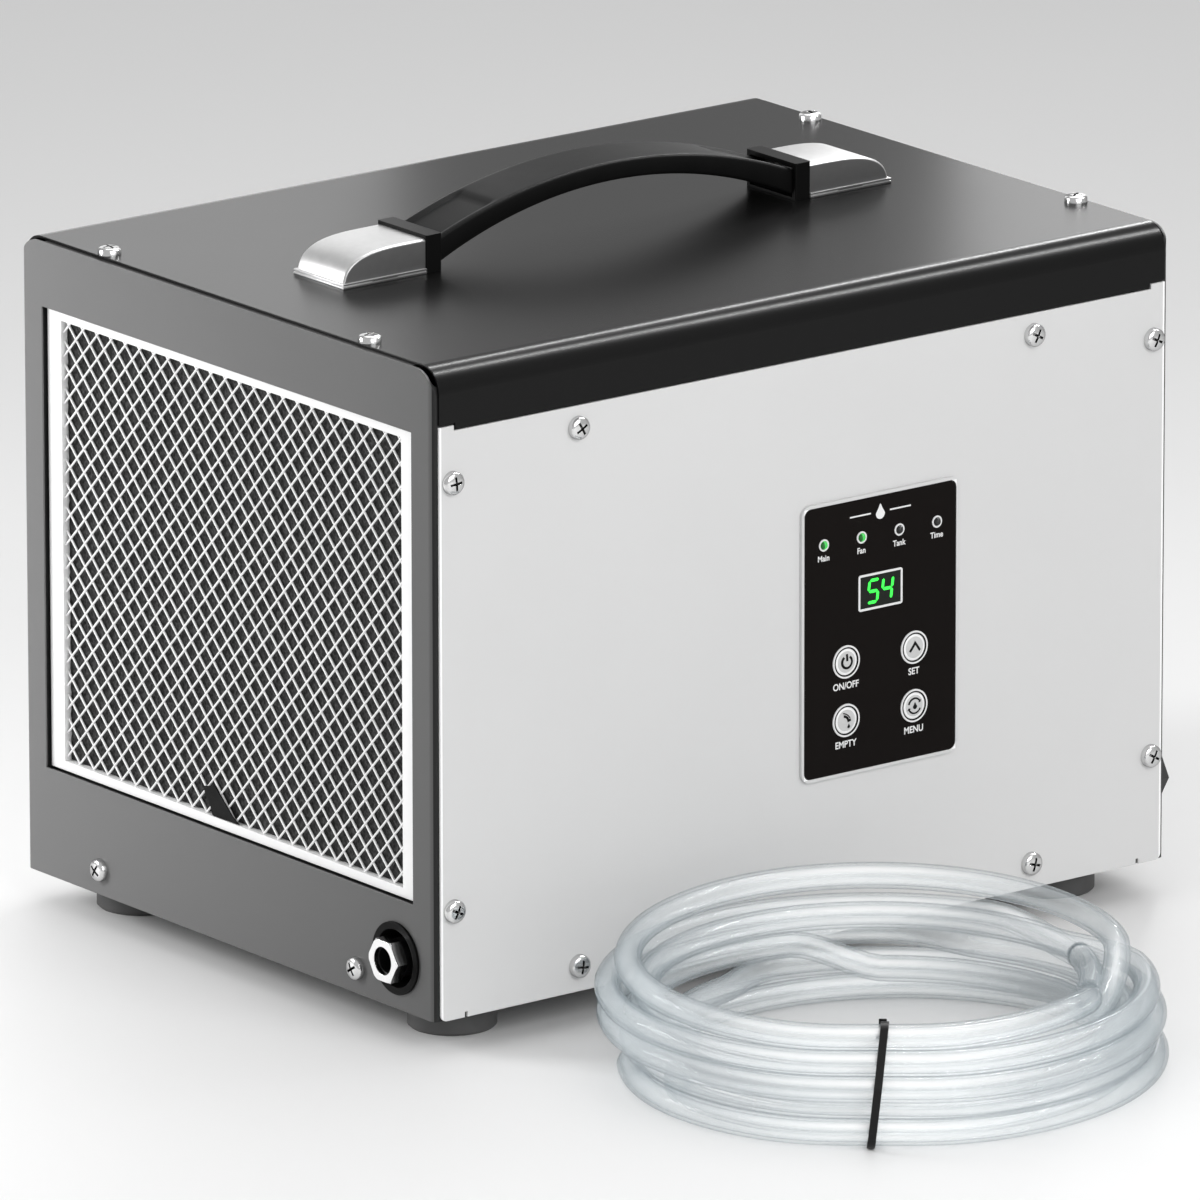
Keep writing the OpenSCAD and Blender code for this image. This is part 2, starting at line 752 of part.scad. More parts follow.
module pump_reservoir() {
    wall = 2;
    left = tank_x - tank_w / 2;
    color([0.25, 0.26, 0.27]) difference() {
        union() {
            translate([tank_x, tank_y, tank_z]) rounded_block(tank_w, tank_d, tank_h, 5);
            rod_x(left - 10, left + 1, drain_y, drain_z, hose_in_r - 0.1);
        }
        translate([tank_x, tank_y, tank_z + wall]) rounded_block(tank_w - 2 * wall, tank_d - 2 * wall, tank_h, 3);
        rod_x(left - 12, left + 5, drain_y, drain_z, 3.2);
    }
}

// one moulding: lid, column, pump casing, outlet pipe and the float's stem
module pump_head() {
    casing_z = tank_z + 3;
    color([0.85, 0.85, 0.82]) difference() {
        union() {
            translate([tank_x, tank_y, lid_z]) rounded_block(tank_w + 4, tank_d + 4, lid_t, 6);
            translate([pump_x, pump_y, casing_z]) cylinder(r = 16, h = 12);
            translate([pump_x, pump_y, casing_z + 6]) cylinder(r = 5, h = lid_z - casing_z - 5);
            pipe([[pump_x, pump_y, casing_z + 6], [pump_x - 22, pump_y, casing_z + 6],
                  [pump_x - 22, drain_y, drain_z], [tank_x - tank_w / 2 + 2.1, drain_y, drain_z]], 4);
            translate([float_x, float_y, tank_z + 5]) cylinder(r = 2, h = lid_z - tank_z - 4);
            translate([float_x, float_y, tank_z + 4]) cylinder(r = 3.4, h = 1.6);
        }
        translate([pump_x, pump_y, casing_z + 1.5]) cylinder(r = 13, h = 9);
        translate([pump_x, pump_y, casing_z]) cylinder(r = 3, h = tank_h);
        translate([pump_x, pump_y, casing_z - 1]) cylinder(r = 6, h = 4);
        translate([inlet_x, inlet_y, lid_z - 1]) cylinder(r = 6, h = 4);
    }
}

module pump_motor() {
    z = lid_z + lid_t;
    color("darkslategray") difference() {
        union() {
            translate([pump_x, pump_y, z]) cylinder(r = 17, h = 38);
            translate([pump_x, pump_y, z + 38]) cylinder(r = 6, h = 4);
            translate([pump_x, pump_y, z]) cylinder(r = 22, h = 2.5);
        }
        translate([pump_x, pump_y, z - 1]) cylinder(r = 2.08, h = 22);
    }
}

// shaft and vaned wheel of the pump
module pump_impeller() {
    z = tank_z + 5.5;
    color("ivory") {
        translate([pump_x, pump_y, z]) cylinder(r = 11.5, h = 1.5);
        for (a = [0 : 60 : 300]) translate([pump_x, pump_y, z]) rotate(a) translate([3, -0.6, 0]) cube([8, 1.2, 6]);
        translate([pump_x, pump_y, z]) cylinder(r = 4, h = 6);
        translate([pump_x, pump_y, z]) cylinder(r = 2, h = lid_z + lid_t + 18 - z);
    }
}

module pump_float() {
    color("orange") translate([float_x, float_y, tank_z + 6]) difference() {
        cylinder(r = 9, h = 12);
        translate([0, 0, -1]) cylinder(r = 2.3, h = 14);
    }
}

// tray under both coils, with a spout over the pump's reservoir
module drip_tray() {
    low = 62;
    from = evap_x - 22;
    to = cond_x + 24;
    half = fin_half - 0.6;
    color([0.3, 0.3, 0.32]) difference() {
        union() {
            translate([from, -half, low]) cube([to - from, 2 * half, 15]);
            translate([to - 2, inlet_y - 9, low]) cube([22, 18, 10]);
        }
        translate([from + 1.5, -half + 1.5, low + 1.5]) cube([to - from - 3, 2 * half - 3, 15]);
        translate([to - 4, inlet_y - 7.5, low + 1.5]) cube([22.5, 15, 15]);
        translate([inlet_x, inlet_y, low - 1]) cylinder(r = 4, h = 4);
    }
}

// ---- refrigeration ----

function row_z(i) = row_low + i * row_pitch;

module coil_end_plates() {
    from = evap_x - 21;
    to = cond_x + 21;
    color(aluminium) difference() {
        for (s = [-1, 1]) {
            translate([from, s > 0 ? plate_y : -plate_y - sheet, floor_z + sheet + 0.2]) cube([to - from, sheet, 280]);
            translate([from, s > 0 ? plate_y : -plate_y - 10, floor_z + sheet + 0.2]) cube([to - from, 10, sheet]);
        }
        for (x = [evap_x, cond_x]) for (i = [0 : coil_rows - 1]) rod_y(-half_d, half_d, x, row_z(i), tube_r + 0.15);
        rod_x(-half_w, to - 5, drain_y, drain_z, 13);
    }
}

module fin_block(x) {
    color(aluminium) difference() {
        translate([x - fin_t / 2, -fin_half, fin_low]) cube([fin_t, 2 * fin_half, fin_h]);
        for (i = [0 : coil_rows - 1]) rod_y(-fin_half - 1, fin_half + 1, x, row_z(i), tube_r + 0.05);
    }
}

// serpentine tube: straight runs through the fins and half rings at their ends
module serpentine(x) {
    color(copper) {
        for (i = [0 : coil_rows - 1]) rod_y(-turn_y, turn_y, x, row_z(i), tube_r);
        for (i = [0 : coil_rows - 2]) {
            s = i % 2 == 0 ? -1 : 1;
            translate([x, s * (turn_y - eps), row_z(i) + row_pitch / 2]) rotate([0, 90, 0])
                rotate([0, 0, s > 0 ? 0 : 180]) rotate_extrude(angle = 180) translate([row_pitch / 2, 0]) circle(tube_r);
        }
    }
}

module evaporator_fins() { fin_block(evap_x); }
module evaporator_tubes() { serpentine(evap_x); }
module condenser_fins() { fin_block(cond_x); }
module condenser_tubes() { serpentine(cond_x); }

// welded shell on three feet, with the suction accumulator beside it
module compressor() {
    dome_r = (comp_r * comp_r + comp_dome * comp_dome) / (2 * comp_dome);
    color([0.13, 0.13, 0.14]) {
        difference() {
            union() {
                translate([comp_x, comp_y, comp_low]) cylinder(r = comp_r - 6, h = 6);
                translate([comp_x, comp_y, comp_low + 5]) cylinder(r = comp_r, h = comp_side);
                for (a = [90, 210, 330]) translate([comp_x, comp_y, comp_low]) rotate(a) {
                    translate([0, -13, 0]) cube([stud_r, 26, 3]);
                    translate([stud_r, 0, 0]) cylinder(r = 13, h = 3);
                }
                intersection() {
                    translate([comp_x, comp_y, comp_low + comp_side]) cylinder(r = comp_r, h = 40);
                    translate([comp_x, comp_y, comp_low + 5 + comp_side + comp_dome - dome_r]) sphere(dome_r, $fn = 96);
                }
                translate([comp_x + 12, comp_y - 18, comp_low + comp_side + 12]) rounded_block(30, 30, 22, 4);
                translate([comp_x - 20, comp_y + 10, comp_low + comp_side]) cylinder(r = 6, h = stub_z - comp_low - comp_side);
            }
            for (a = [90, 210, 330])
                translate([comp_x + stud_r * cos(a), comp_y + stud_r * sin(a), comp_low - 1]) cylinder(r = 8, h = 5);
        }
        translate([acc_x, comp_y, 92]) cylinder(r = 24, h = 90);
        translate([acc_x, comp_y, 182]) cylinder(r1 = 24, r2 = 8, h = 12);
        translate([acc_x, comp_y, 80]) cylinder(r1 = 8, r2 = 24, h = 12);
        translate([acc_x, comp_y - 6, 130]) cube([comp_x - comp_r - acc_x + 4, 12, 10]);
        pipe([[acc_x, comp_y, 84], [acc_x, comp_y, 64], [comp_x - comp_r + 4, comp_y, 64]], 5);
    }
}

// rubber bushes and their studs
module compressor_mounts() {
    top = comp_low + 9;
    for (a = [90, 210, 330]) translate([comp_x + stud_r * cos(a), comp_y + stud_r * sin(a), 0]) {
        color(rubber) difference() {
            union() {
                translate([0, 0, floor_z + sheet + 0.1]) cylinder(r = 11, h = comp_low - floor_z - sheet - 0.2);
                translate([0, 0, comp_low - 1]) cylinder(r = 7.8, h = 5);
                translate([0, 0, comp_low + 3.1]) cylinder(r = 11, h = top - comp_low - 3.1);
            }
            cylinder(r = 3.2, h = 60);
        }
        color("silver") {
            translate([0, 0, floor_z - 3]) cylinder(r = 5.5, h = 2.9);
            translate([0, 0, floor_z - 1]) cylinder(r = 3, h = top - floor_z + 8);
            translate([0, 0, top + 0.1]) cylinder(r = 9, h = 1.4);
            translate([0, 0, top + 1.5]) cylinder(d = 11.5, h = 4.8, $fn = 6);
        }
    }
}

// suction line to the accumulator, and discharge line to the condenser
module refrigerant_lines() {
    high = roof_z - 16;
    low = roof_z - 30;
    top_row = row_z(coil_rows - 1);
    color(copper) {
        pipe([[acc_x, comp_y, 194], [acc_x, comp_y, high], [acc_x, port_y, high], [evap_x, port_y, high],
              [evap_x, port_y, top_row], [evap_x, turn_y + eps, top_row]], 6.35);
        pipe([[comp_x - 20, comp_y + 10, stub_z], [comp_x - 20, comp_y + 10, low], [comp_x - 20, port_y + 4, low],
              [cond_x, port_y + 4, low], [cond_x, port_y + 4, top_row], [cond_x, turn_y + eps, top_row]], tube_r);
    }
}

// drier with the condenser's outlet under it and the capillary tube to the evaporator
module filter_drier() {
    x = cond_x + 32;
    color(copper) {
        translate([x, port_y, 118]) cylinder(r = 11, h = 60);
        translate([x, port_y, 178]) cylinder(r1 = 11, r2 = 3, h = 12);
        translate([x, port_y, 106]) cylinder(r1 = 5, r2 = 11, h = 12);
        pipe([[cond_x, turn_y + eps, row_low], [cond_x, port_y, row_low], [x, port_y, row_low], [x, port_y, 108]], tube_r);
        pipe([[x, port_y, 188], [x, port_y, 206], [evap_x + 20, port_y + 10, 206],
              [evap_x + 20, port_y + 10, row_low + 6], [evap_x, port_y, row_low], [evap_x, turn_y + eps, row_low]], 1.6);
    }
}

module run_capacitor() {
    translate([132, -112, floor_z + sheet + 0.2]) {
        color("gainsboro") cylinder(r = 20, h = 78);
        color("dimgray") translate([0, 0, 78]) cylinder(r = 18.5, h = 3);
        color("silver") for (x = [-7, 7]) translate([x - 3, -0.5, 81]) cube([6, 1, 9]);
    }
}

// ---- fan ----

// plate across the cabinet with a round throat for the fan
module fan_shroud() {
    half = in_y - sheet - 2;
    color(steel_black) difference() {
        union() {
            translate([shroud_x, -half, floor_z + sheet + 0.2]) cube([sheet, 2 * half, roof_z - floor_z - 10]);
            rod_x(shroud_x - 10, shroud_x + 24, 0, fan_z, orifice_r + sheet);
        }
        rod_x(shroud_x - 11, shroud_x + 25, 0, fan_z, orifice_r);
        for (s = [-1, 1]) translate([shroud_x - 1, s * half, roof_z - rail_drop + rail_h / 2])
            cube([2 * sheet + 2, 24, rail_h + 2], center = true);
    }
}

module fan_motor() {
    color("dimgray") difference() {
        union() {
            rod_x(motor_from, motor_to - 6, 0, fan_z, motor_r);
            rod_x(motor_to - 6 - eps, motor_to, 0, fan_z, motor_r - 6);
            rod_x(motor_to - eps, motor_to + 6, 0, fan_z, 10);
        }
        rod_x(motor_from + 16, motor_to + 7, 0, fan_z, shaft_r + 0.08);
    }
}

// clamp round the motor with four arms that reach the shroud
module fan_bracket() {
    arm_r = orifice_r + 10;
    x = motor_from + 26;
    color(steel_black) {
        difference() {
            rod_x(x, x + 14, 0, fan_z, motor_r + 4);
            rod_x(x - 1, x + 15, 0, fan_z, motor_r);
        }
        for (a = [45, 135, 225, 315]) translate([0, 0, fan_z]) rotate([a, 0, 0]) {
            rod_y(motor_r + 2, arm_r, x + 7, 0, 3);
            rod_x(x + 4, shroud_x, arm_r, 0, 3);
        }
    }
}

module fan_shaft() {
    color("silver") rod_x(motor_from + 18, fan_x + hub_half + 1, 0, fan_z, shaft_r);
}

// axial impeller: hub and pitched blades
module fan_impeller() {
    chord = 52;
    pitch = 30;
    color([0.15, 0.15, 0.16]) difference() {
        union() {
            rod_x(fan_x - hub_half, fan_x + hub_half, 0, fan_z, hub_r);
            intersection() {
                translate([fan_x, 0, fan_z]) for (i = [0 : fan_blades - 1]) rotate([i * 360 / fan_blades, 0, 0])
                    translate([0, 0, hub_r - 4]) rotate([0, 0, 90 - pitch]) translate([-chord / 2, -1.1, 0])
                        cube([chord, 2.2, fan_r]);
                rod_x(fan_x - 30, fan_x + 30, 0, fan_z, fan_r);
            }
        }
        rod_x(fan_x - hub_half - 1, fan_x + hub_half + 1, 0, fan_z, shaft_r);
        rod_x(fan_x - hub_half - 1, fan_x + hub_half - 8, 0, fan_z, hub_r - 3);
    }
    color([0.15, 0.15, 0.16]) difference() {
        rod_x(fan_x - hub_half, fan_x + hub_half - 4, 0, fan_z, 9);
        rod_x(fan_x - hub_half - 1, fan_x + hub_half, 0, fan_z, shaft_r);
    }
}

// wire guard: rings, two crossed spokes and four screw eyes
module outlet_grille() {
    wire = 1.5;
    rings = [14, 30, 46, 62, 78, 94];
    color("silver") {
        for (r = concat(rings, [outlet_r + 3])) translate([half_w + wire + 0.1, 0, fan_z]) rotate([0, 90, 0])
            rotate_extrude($fn = 96) translate([r, 0]) circle(wire, $fn = 24);
        for (a = [45, 135, 225, 315]) translate([half_w + wire + 0.1, 0, fan_z]) rotate([a, 0, 0]) {
            translate([wire * 1.6, 0, 0]) rod_y(12, outlet_r + 4, 0, 0, wire);
            difference() {
                rod_x(-wire, 0.6, guard_eye_r, 0, 7);
                rod_x(-wire - 1, 2, guard_eye_r, 0, clear_r);
            }
        }
    }
}

// gland for the mains lead: outer nut, threaded body and inner locknut
module cable_gland() {
    color(rubber) difference() {
        union() {
            translate([half_w + 8 - 5.5, gland_y, gland_z]) rotate([0, 90, 0]) rotate(30)
                cylinder(d = gland_af / cos(30), h = 5.5, $fn = 6);
            rod_x(half_w, half_w + 3, gland_y, gland_z, 10.8);
            rod_x(in_x - 10, half_w + 3, gland_y, gland_z, 8);
            translate([in_x - 5, gland_y, gland_z]) rotate([0, 90, 0]) rotate(30)
                cylinder(d = gland_af / cos(30), h = 4.9, $fn = 6);
        }
        rod_x(in_x - 11, half_w + 9, gland_y, gland_z, 4.25);
    }
}

// ---- drain hose in its coil ----

// the bundle's outer shape, lower at the tie than on its loose side
module drain_hose_coil() {
    top = coil_h + coil_rise;
    color([0.85, 0.88, 0.9]) translate([coil_x, coil_y, 0]) rotate(tie_angle) difference() {
        rotate_extrude($fn = 128) polygon([
            [coil_in + 4, 0], [coil_r - 4, 0], [coil_r, coil_foot], [coil_r, coil_h * 0.6],
            [coil_r - 6, coil_h], [coil_r - 14, top], [coil_in + 6, top], [coil_in, coil_h], [coil_in, coil_foot]]);
        translate([coil_r, 0, coil_h]) rotate([0, coil_slope, 0])
            translate([-3 * coil_r, -2 * coil_r, 0]) cube([4 * coil_r, 4 * coil_r, coil_h]);
    }
}

// cable tie round the bundle, with its head on the inner side
module hose_tie() {
    color("black") translate([coil_x, coil_y, 0]) rotate(tie_angle) {
        translate([0, tie_w / 2, 0]) rotate([90, 0, 0]) linear_extrude(tie_w) difference() {
            translate([coil_in - tie_t, 0]) square([coil_r - coil_in + 2 * tie_t, coil_h + 2 * tie_t]);
            translate([coil_in, tie_t]) square([coil_r - coil_in, coil_h]);
        }
        translate([coil_in - tie_t - 5, -tie_head[1] / 2, coil_h - 8]) cube(tie_head);
    }
}

base_tray();
intake_panel();
outlet_panel();
front_panel();
rear_panel();
top_cover();
cross_rails();
rubber_feet();
cabinet_screws();
machine_screws();
handle_strap();
handle_collars();
handle_cap_left();
handle_cap_right();
filter_channel();
filter_frame();
filter_mesh();
filter_foam();
filter_pull_tab();
control_bezel();
control_overlay();
silver_rings();
display_window();
led_lenses();
button(-1, 0);  // button_power
button(1, 0);  // button_set
button(-1, 1);  // button_drain
button(1, 1);  // button_mode
control_board();
control_box();
drain_grommet();
fitting_body();
fitting_nut();
drain_tube();
check_valve();
pump_reservoir();
pump_head();
pump_motor();
pump_impeller();
pump_float();
drip_tray();
coil_end_plates();
evaporator_fins();
evaporator_tubes();
condenser_fins();
condenser_tubes();
compressor();
compressor_mounts();
refrigerant_lines();
filter_drier();
run_capacitor();
fan_shroud();
fan_motor();
fan_bracket();
fan_shaft();
fan_impeller();
outlet_grille();
cable_gland();
drain_hose_coil();
hose_tie();
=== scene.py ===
import bpy
import bmesh
import json
from math import cos, exp, pi, radians, sin, sqrt
from mathutils import Matrix, Vector

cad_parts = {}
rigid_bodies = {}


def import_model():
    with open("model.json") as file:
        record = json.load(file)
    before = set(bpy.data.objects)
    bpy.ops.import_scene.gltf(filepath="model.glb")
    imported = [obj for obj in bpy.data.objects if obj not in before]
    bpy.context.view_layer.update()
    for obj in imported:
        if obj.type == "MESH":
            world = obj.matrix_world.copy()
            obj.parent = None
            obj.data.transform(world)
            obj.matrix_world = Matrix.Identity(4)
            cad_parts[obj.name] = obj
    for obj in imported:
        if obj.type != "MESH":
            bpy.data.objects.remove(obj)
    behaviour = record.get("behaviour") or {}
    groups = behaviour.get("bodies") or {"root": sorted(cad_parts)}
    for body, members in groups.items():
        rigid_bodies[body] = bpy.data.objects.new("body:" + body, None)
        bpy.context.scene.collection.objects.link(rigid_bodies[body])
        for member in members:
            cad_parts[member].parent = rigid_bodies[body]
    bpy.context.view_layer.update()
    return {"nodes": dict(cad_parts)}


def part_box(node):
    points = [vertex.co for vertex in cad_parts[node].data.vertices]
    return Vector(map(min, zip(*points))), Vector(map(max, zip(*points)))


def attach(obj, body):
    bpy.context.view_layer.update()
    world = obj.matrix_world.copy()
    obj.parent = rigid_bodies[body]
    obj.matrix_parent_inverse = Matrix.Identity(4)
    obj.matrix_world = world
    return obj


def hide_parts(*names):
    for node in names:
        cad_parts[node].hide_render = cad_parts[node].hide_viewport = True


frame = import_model()
print("frame loaded,", len(frame["nodes"]), "nodes")

mm = 0.001


def middle(node):
    low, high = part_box(node)
    return (Vector(low) + Vector(high)) / 2


def grey(value):
    return (value, value, value, 1)


def darker(colour, part):
    return tuple(c * part for c in colour[:3]) + (1,)


def ease(t):
    t = min(max(t, 0), 1)
    return t * t * (3 - 2 * t)


def link(thing):
    bpy.context.scene.collection.objects.link(thing)
    return thing


def addPiece(name, mesh, material, body, stands=(), smooth=True):
    piece = link(bpy.data.objects.new(name, mesh))
    mesh.materials.clear()
    mesh.materials.append(material)
    for face in mesh.polygons:
        face.use_smooth = smooth
    return settle(piece, body, stands)


def settle(piece, body, stands=()):
    if stands:
        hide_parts(*stands)
    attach(piece, body)
    return piece


def meshFrom(name, points, faces):
    mesh = bpy.data.meshes.new(name)
    mesh.from_pydata([tuple(p) for p in points], [], faces)
    mesh.update()
    return mesh


def faceOut(mesh):
    bm = bmesh.new()
    bm.from_mesh(mesh)
    bmesh.ops.remove_doubles(bm, verts=bm.verts, dist=1e-7)
    bmesh.ops.recalc_face_normals(bm, faces=bm.faces)
    bm.to_mesh(mesh)
    bm.free()
    return mesh


def sharpen(mesh, angle=35):
    # smooth shading that keeps edges steeper than the angle crisp
    mesh.shade_smooth()
    mesh.set_sharp_from_angle(angle=radians(angle))
    return mesh


def addBlock(bm, place, size, bevel, profile):
    box = bmesh.ops.create_cube(bm, size=1, matrix=place @ Matrix.Diagonal((*size, 1)))
    edges = list({e for v in box["verts"] for e in v.link_edges})
    bmesh.ops.bevel(bm, geom=edges, offset=bevel, segments=2, profile=profile, affect="EDGES")


# rings of equal length joined into one closed skin
def loft(name, rings, closed=False):
    count = len(rings[0])
    points = [p for ring in rings for p in ring]
    faces = []
    for i in range(len(rings) - (0 if closed else 1)):
        a, b = i * count, ((i + 1) % len(rings)) * count
        faces += [(a + j, a + (j + 1) % count, b + (j + 1) % count, b + j) for j in range(count)]
    if not closed:
        faces += [tuple(range(count))[::-1], tuple(range(len(points) - count, len(points)))]
    return faceOut(meshFrom(name, points, faces))


# node trees are written as sums: an expression on wires adds its own Math nodes
class Wire:  # an output socket
    def __init__(self, tree, socket):
        self.tree, self.socket = tree, socket

    def __add__(self, other): return self.tree.calc("ADD", self, other)
    def __radd__(self, other): return self.tree.calc("ADD", other, self)
    def __sub__(self, other): return self.tree.calc("SUBTRACT", self, other)
    def __rsub__(self, other): return self.tree.calc("SUBTRACT", other, self)
    def __mul__(self, other): return self.tree.calc("MULTIPLY", self, other)
    def __rmul__(self, other): return self.tree.calc("MULTIPLY", other, self)
    def __truediv__(self, other): return self.tree.calc("DIVIDE", self, other)
    def __pow__(self, other): return self.tree.calc("POWER", self, other)
    def __gt__(self, other): return self.tree.calc("GREATER_THAN", self, other)
    def __lt__(self, other): return self.tree.calc("LESS_THAN", self, other)


class Tree:  # what materials and shapes share
    def calc(self, operation, *values):
        return self.node("ShaderNodeMath", {"operation": operation}, dict(enumerate(values)))["Value"]

    def node(self, kind, settings=None, sockets=None):
        made = self.nodes.new(kind)
        for key, value in (settings or {}).items():
            if key == "stops":
                ramp = made.color_ramp.elements
                while len(ramp) < len(value):
                    ramp.new(0.5)
                for stop, (place, colour) in zip(ramp, value):
                    stop.position, stop.color = place, colour
            else:
                setattr(made, key, value)
        for key, value in (sockets or {}).items():
            shown = [s for s in made.inputs if s.enabled]
            socket = shown[key] if isinstance(key, int) else next(s for s in shown if s.name == key)
            for one in value if isinstance(value, list) else [value]:
                if isinstance(one, Wire):
                    self.links.new(one.socket, socket)
                else:
                    socket.default_value = one
        return {s.name: Wire(self, s) for s in made.outputs if s.enabled}

    def split(self, vector):
        return self.node("ShaderNodeSeparateXYZ", {}, {"Vector": vector})


class Paint(Tree):  # a material that reads Object coordinates
    def __init__(self, name):
        self.material = bpy.data.materials.new(name)
        self.material.use_nodes = True
        self.nodes, self.links = self.material.node_tree.nodes, self.material.node_tree.links
        self.nodes.clear()
        self.place = self.node("ShaderNodeTexCoord")["Object"]

    def axes(self, place=None):
        return self.split(place or self.place)

    def centred(self, centre, turn=(0, 0, 0)):
        return self.node("ShaderNodeMapping", {}, {"Vector": self.place, "Location": tuple(-c for c in centre),
                                                   "Rotation": turn})["Vector"]

    def noise(self, scale, detail=2.0, place=None):
        return self.node("ShaderNodeTexNoise", {}, {"Vector": place or self.place, "Scale": scale,
                                                    "Detail": detail})["Fac"]

    def cells(self, scale, place=None):
        return self.node("ShaderNodeTexVoronoi", {}, {"Vector": place or self.place, "Scale": scale})["Distance"]

    def ramp(self, factor, *stops):
        return self.node("ShaderNodeValToRGB", {"stops": stops}, {"Fac": factor})["Color"]

    def mix(self, factor, a, b):
        return self.node("ShaderNodeMix", {"data_type": "RGBA"}, {"Factor": factor, "A": a, "B": b})["Result"]

    def finish(self, colour, roughness, height=None, depth=0.05 * mm, soft=0.0, shine=0.5, **more):
        sockets = {"Base Color": colour, "Roughness": roughness, "Specular IOR Level": shine}
        sockets |= {key.replace("_", " "): value for key, value in more.items()}
        normal = None
        if soft:
            normal = self.node("ShaderNodeBevel", {"samples": 6}, {"Radius": soft})["Normal"]
        if height:
            bump = {"Height": height, "Distance": depth}
            normal = self.node("ShaderNodeBump", {}, bump | ({"Normal": normal} if normal else {}))["Normal"]
        if normal:
            sockets["Normal"] = normal
        self.show(self.node("ShaderNodeBsdfPrincipled", {}, sockets)["BSDF"])
        return self.material

    def show(self, shader):
        self.node("ShaderNodeOutputMaterial", {}, {"Surface": shader})


class Shape(Tree):  # a Geometry Nodes tree with named inputs
    kinds = {float: "NodeSocketFloat", int: "NodeSocketInt", tuple: "NodeSocketVector"}

    def __init__(self, name, material, **sizes):
        self.group = bpy.data.node_groups.new(name, "GeometryNodeTree")
        self.nodes, self.links = self.group.nodes, self.group.links
        self.values = sizes | {"Material": material}
        self.group.interface.new_socket("Geometry", in_out="INPUT", socket_type="NodeSocketGeometry")
        for key, value in self.values.items():
            kind = self.kinds.get(type(value), "NodeSocketMaterial")
            self.group.interface.new_socket(key, in_out="INPUT", socket_type=kind)
        self.group.interface.new_socket("Geometry", in_out="OUTPUT", socket_type="NodeSocketGeometry")
        self.given = self.node("NodeGroupInput")

    def __getitem__(self, name):
        return self.given[name]

    def vector(self, x=0.0, y=0.0, z=0.0):
        return self.node("ShaderNodeCombineXYZ", {}, {"X": x, "Y": y, "Z": z})["Vector"]

    def moved(self, geometry, way, value):
        return self.node("GeometryNodeTransform", {}, {"Geometry": geometry, way: value})["Geometry"]

    def placed(self, geometry, way, value):
        return self.node("GeometryNodeSetPosition", {}, {"Geometry": geometry, way: value})["Geometry"]

    def repeated(self, points, one, **more):
        return self.node("GeometryNodeInstanceOnPoints", {}, {"Points": points, "Instance": one} | more)["Instances"]

    def joined(self, *parts):
        return self.node("GeometryNodeJoinGeometry", {}, {"Geometry": list(parts)})["Geometry"]

    def grow(self, name, geometry, start=None):
        # runs the tree once and keeps its result as a plain mesh
        real = self.node("GeometryNodeRealizeInstances", {}, {"Geometry": geometry})["Geometry"]
        done = self.node("GeometryNodeSetMaterial", {}, {"Geometry": real, "Material": self["Material"]})["Geometry"]
        self.node("NodeGroupOutput", {}, {"Geometry": done})
        piece = link(bpy.data.objects.new(name, start or bpy.data.meshes.new(name)))
        modifier = piece.modifiers.new("shape", "NODES")
        modifier.node_group = self.group
        for item in self.group.interface.items_tree:
            if item.name in self.values:
                modifier[item.identifier] = self.values[item.name]
        seen = piece.evaluated_get(bpy.context.evaluated_depsgraph_get())
        mesh = bpy.data.meshes.new_from_object(seen)
        piece.modifiers.remove(modifier)
        piece.data = mesh
        return piece


lens = dict(azimuth=-37.73, elevation=15.76, roll=-0.07, length=517.7, distance=7.904,
            across=1.7 * mm, above=119.9 * mm, base=16 * mm)


def addCamera():
    a, e = radians(lens["azimuth"]), radians(lens["elevation"])
    back = Vector((sin(a) * cos(e), -cos(a) * cos(e), sin(e)))
    right = (-back).cross(Vector((0, 0, 1))).normalized()
    up = right.cross(-back)
    turn = Matrix.Rotation(radians(lens["roll"]), 3, back)
    right, up = turn @ right, turn @ up
    data = bpy.data.cameras.new("camera")
    data.lens, data.sensor_width = lens["length"], 36
    data.clip_start, data.clip_end = 0.1, 100
    camera = bpy.data.objects.new("camera", data)
    spot = right * lens["across"] + up * lens["above"] + back * lens["distance"] + Vector((0, 0, lens["base"]))
    camera.matrix_world = Matrix.Translation(spot) @ Matrix((right, up, back)).transposed().to_4x4()
    link(camera)
    bpy.context.scene.camera = camera


addCamera()
print("camera placed")


# the drain hose lies wound in a coil in front of the cabinet
hose = dict(diameter=12 * mm, bore=9 * mm, ring=20, stepsPerTurn=96, tieAngle=radians(230.5),
            sideways=radians(-37.73), rowLow=6.3 * mm, rowStep=9.7 * mm, topRow=4, loosening=0.33,
            lift=1.3 * mm, liftReach=0.25, oval=3.5, ovalAngle=radians(187),
            swap=radians(25), firstSwap=radians(80), leadIn=radians(20), leadOut=radians(30))
coilMiddle = middle("drain_hose_coil")

# each turn's radius at the tie, its row, how far it bulges at the sides and how far it leans to one side
turns = [(90, 0.2, 0, 2), (104.5, 0, 0, 4), (118.5, 0, -2, 5), (111.5, 1, 2, 3), (97.5, 1, 0, 3),
         (104.5, 2, 3, 0), (118.5, 2, 2, 0), (111.5, 3, 8, -2), (97.5, 3, 5, -2), (104.5, 4, 5, -3), (92, 3.3, 3, -2)]


def turnAt(index, angle):
    radius, row, bulge, lean = turns[index]
    fromTie = angle - hose["tieAngle"]
    radius += bulge * sin(fromTie) ** 2 + lean * cos(angle - hose["sideways"])
    if row < 1:
        radius += hose["oval"] * cos(2 * (angle - hose["ovalAngle"]))
    wide = (1 - cos(fromTie)) / 2
    loose = 1 + hose["loosening"] * wide * (row / hose["topRow"]) ** 1.5
    near = (fromTie + pi) % (2 * pi) - pi
    high = hose["rowLow"] + row * hose["rowStep"] * loose
    return radius * mm, high + hose["lift"] * exp(-(near / hose["liftReach"]) ** 2)


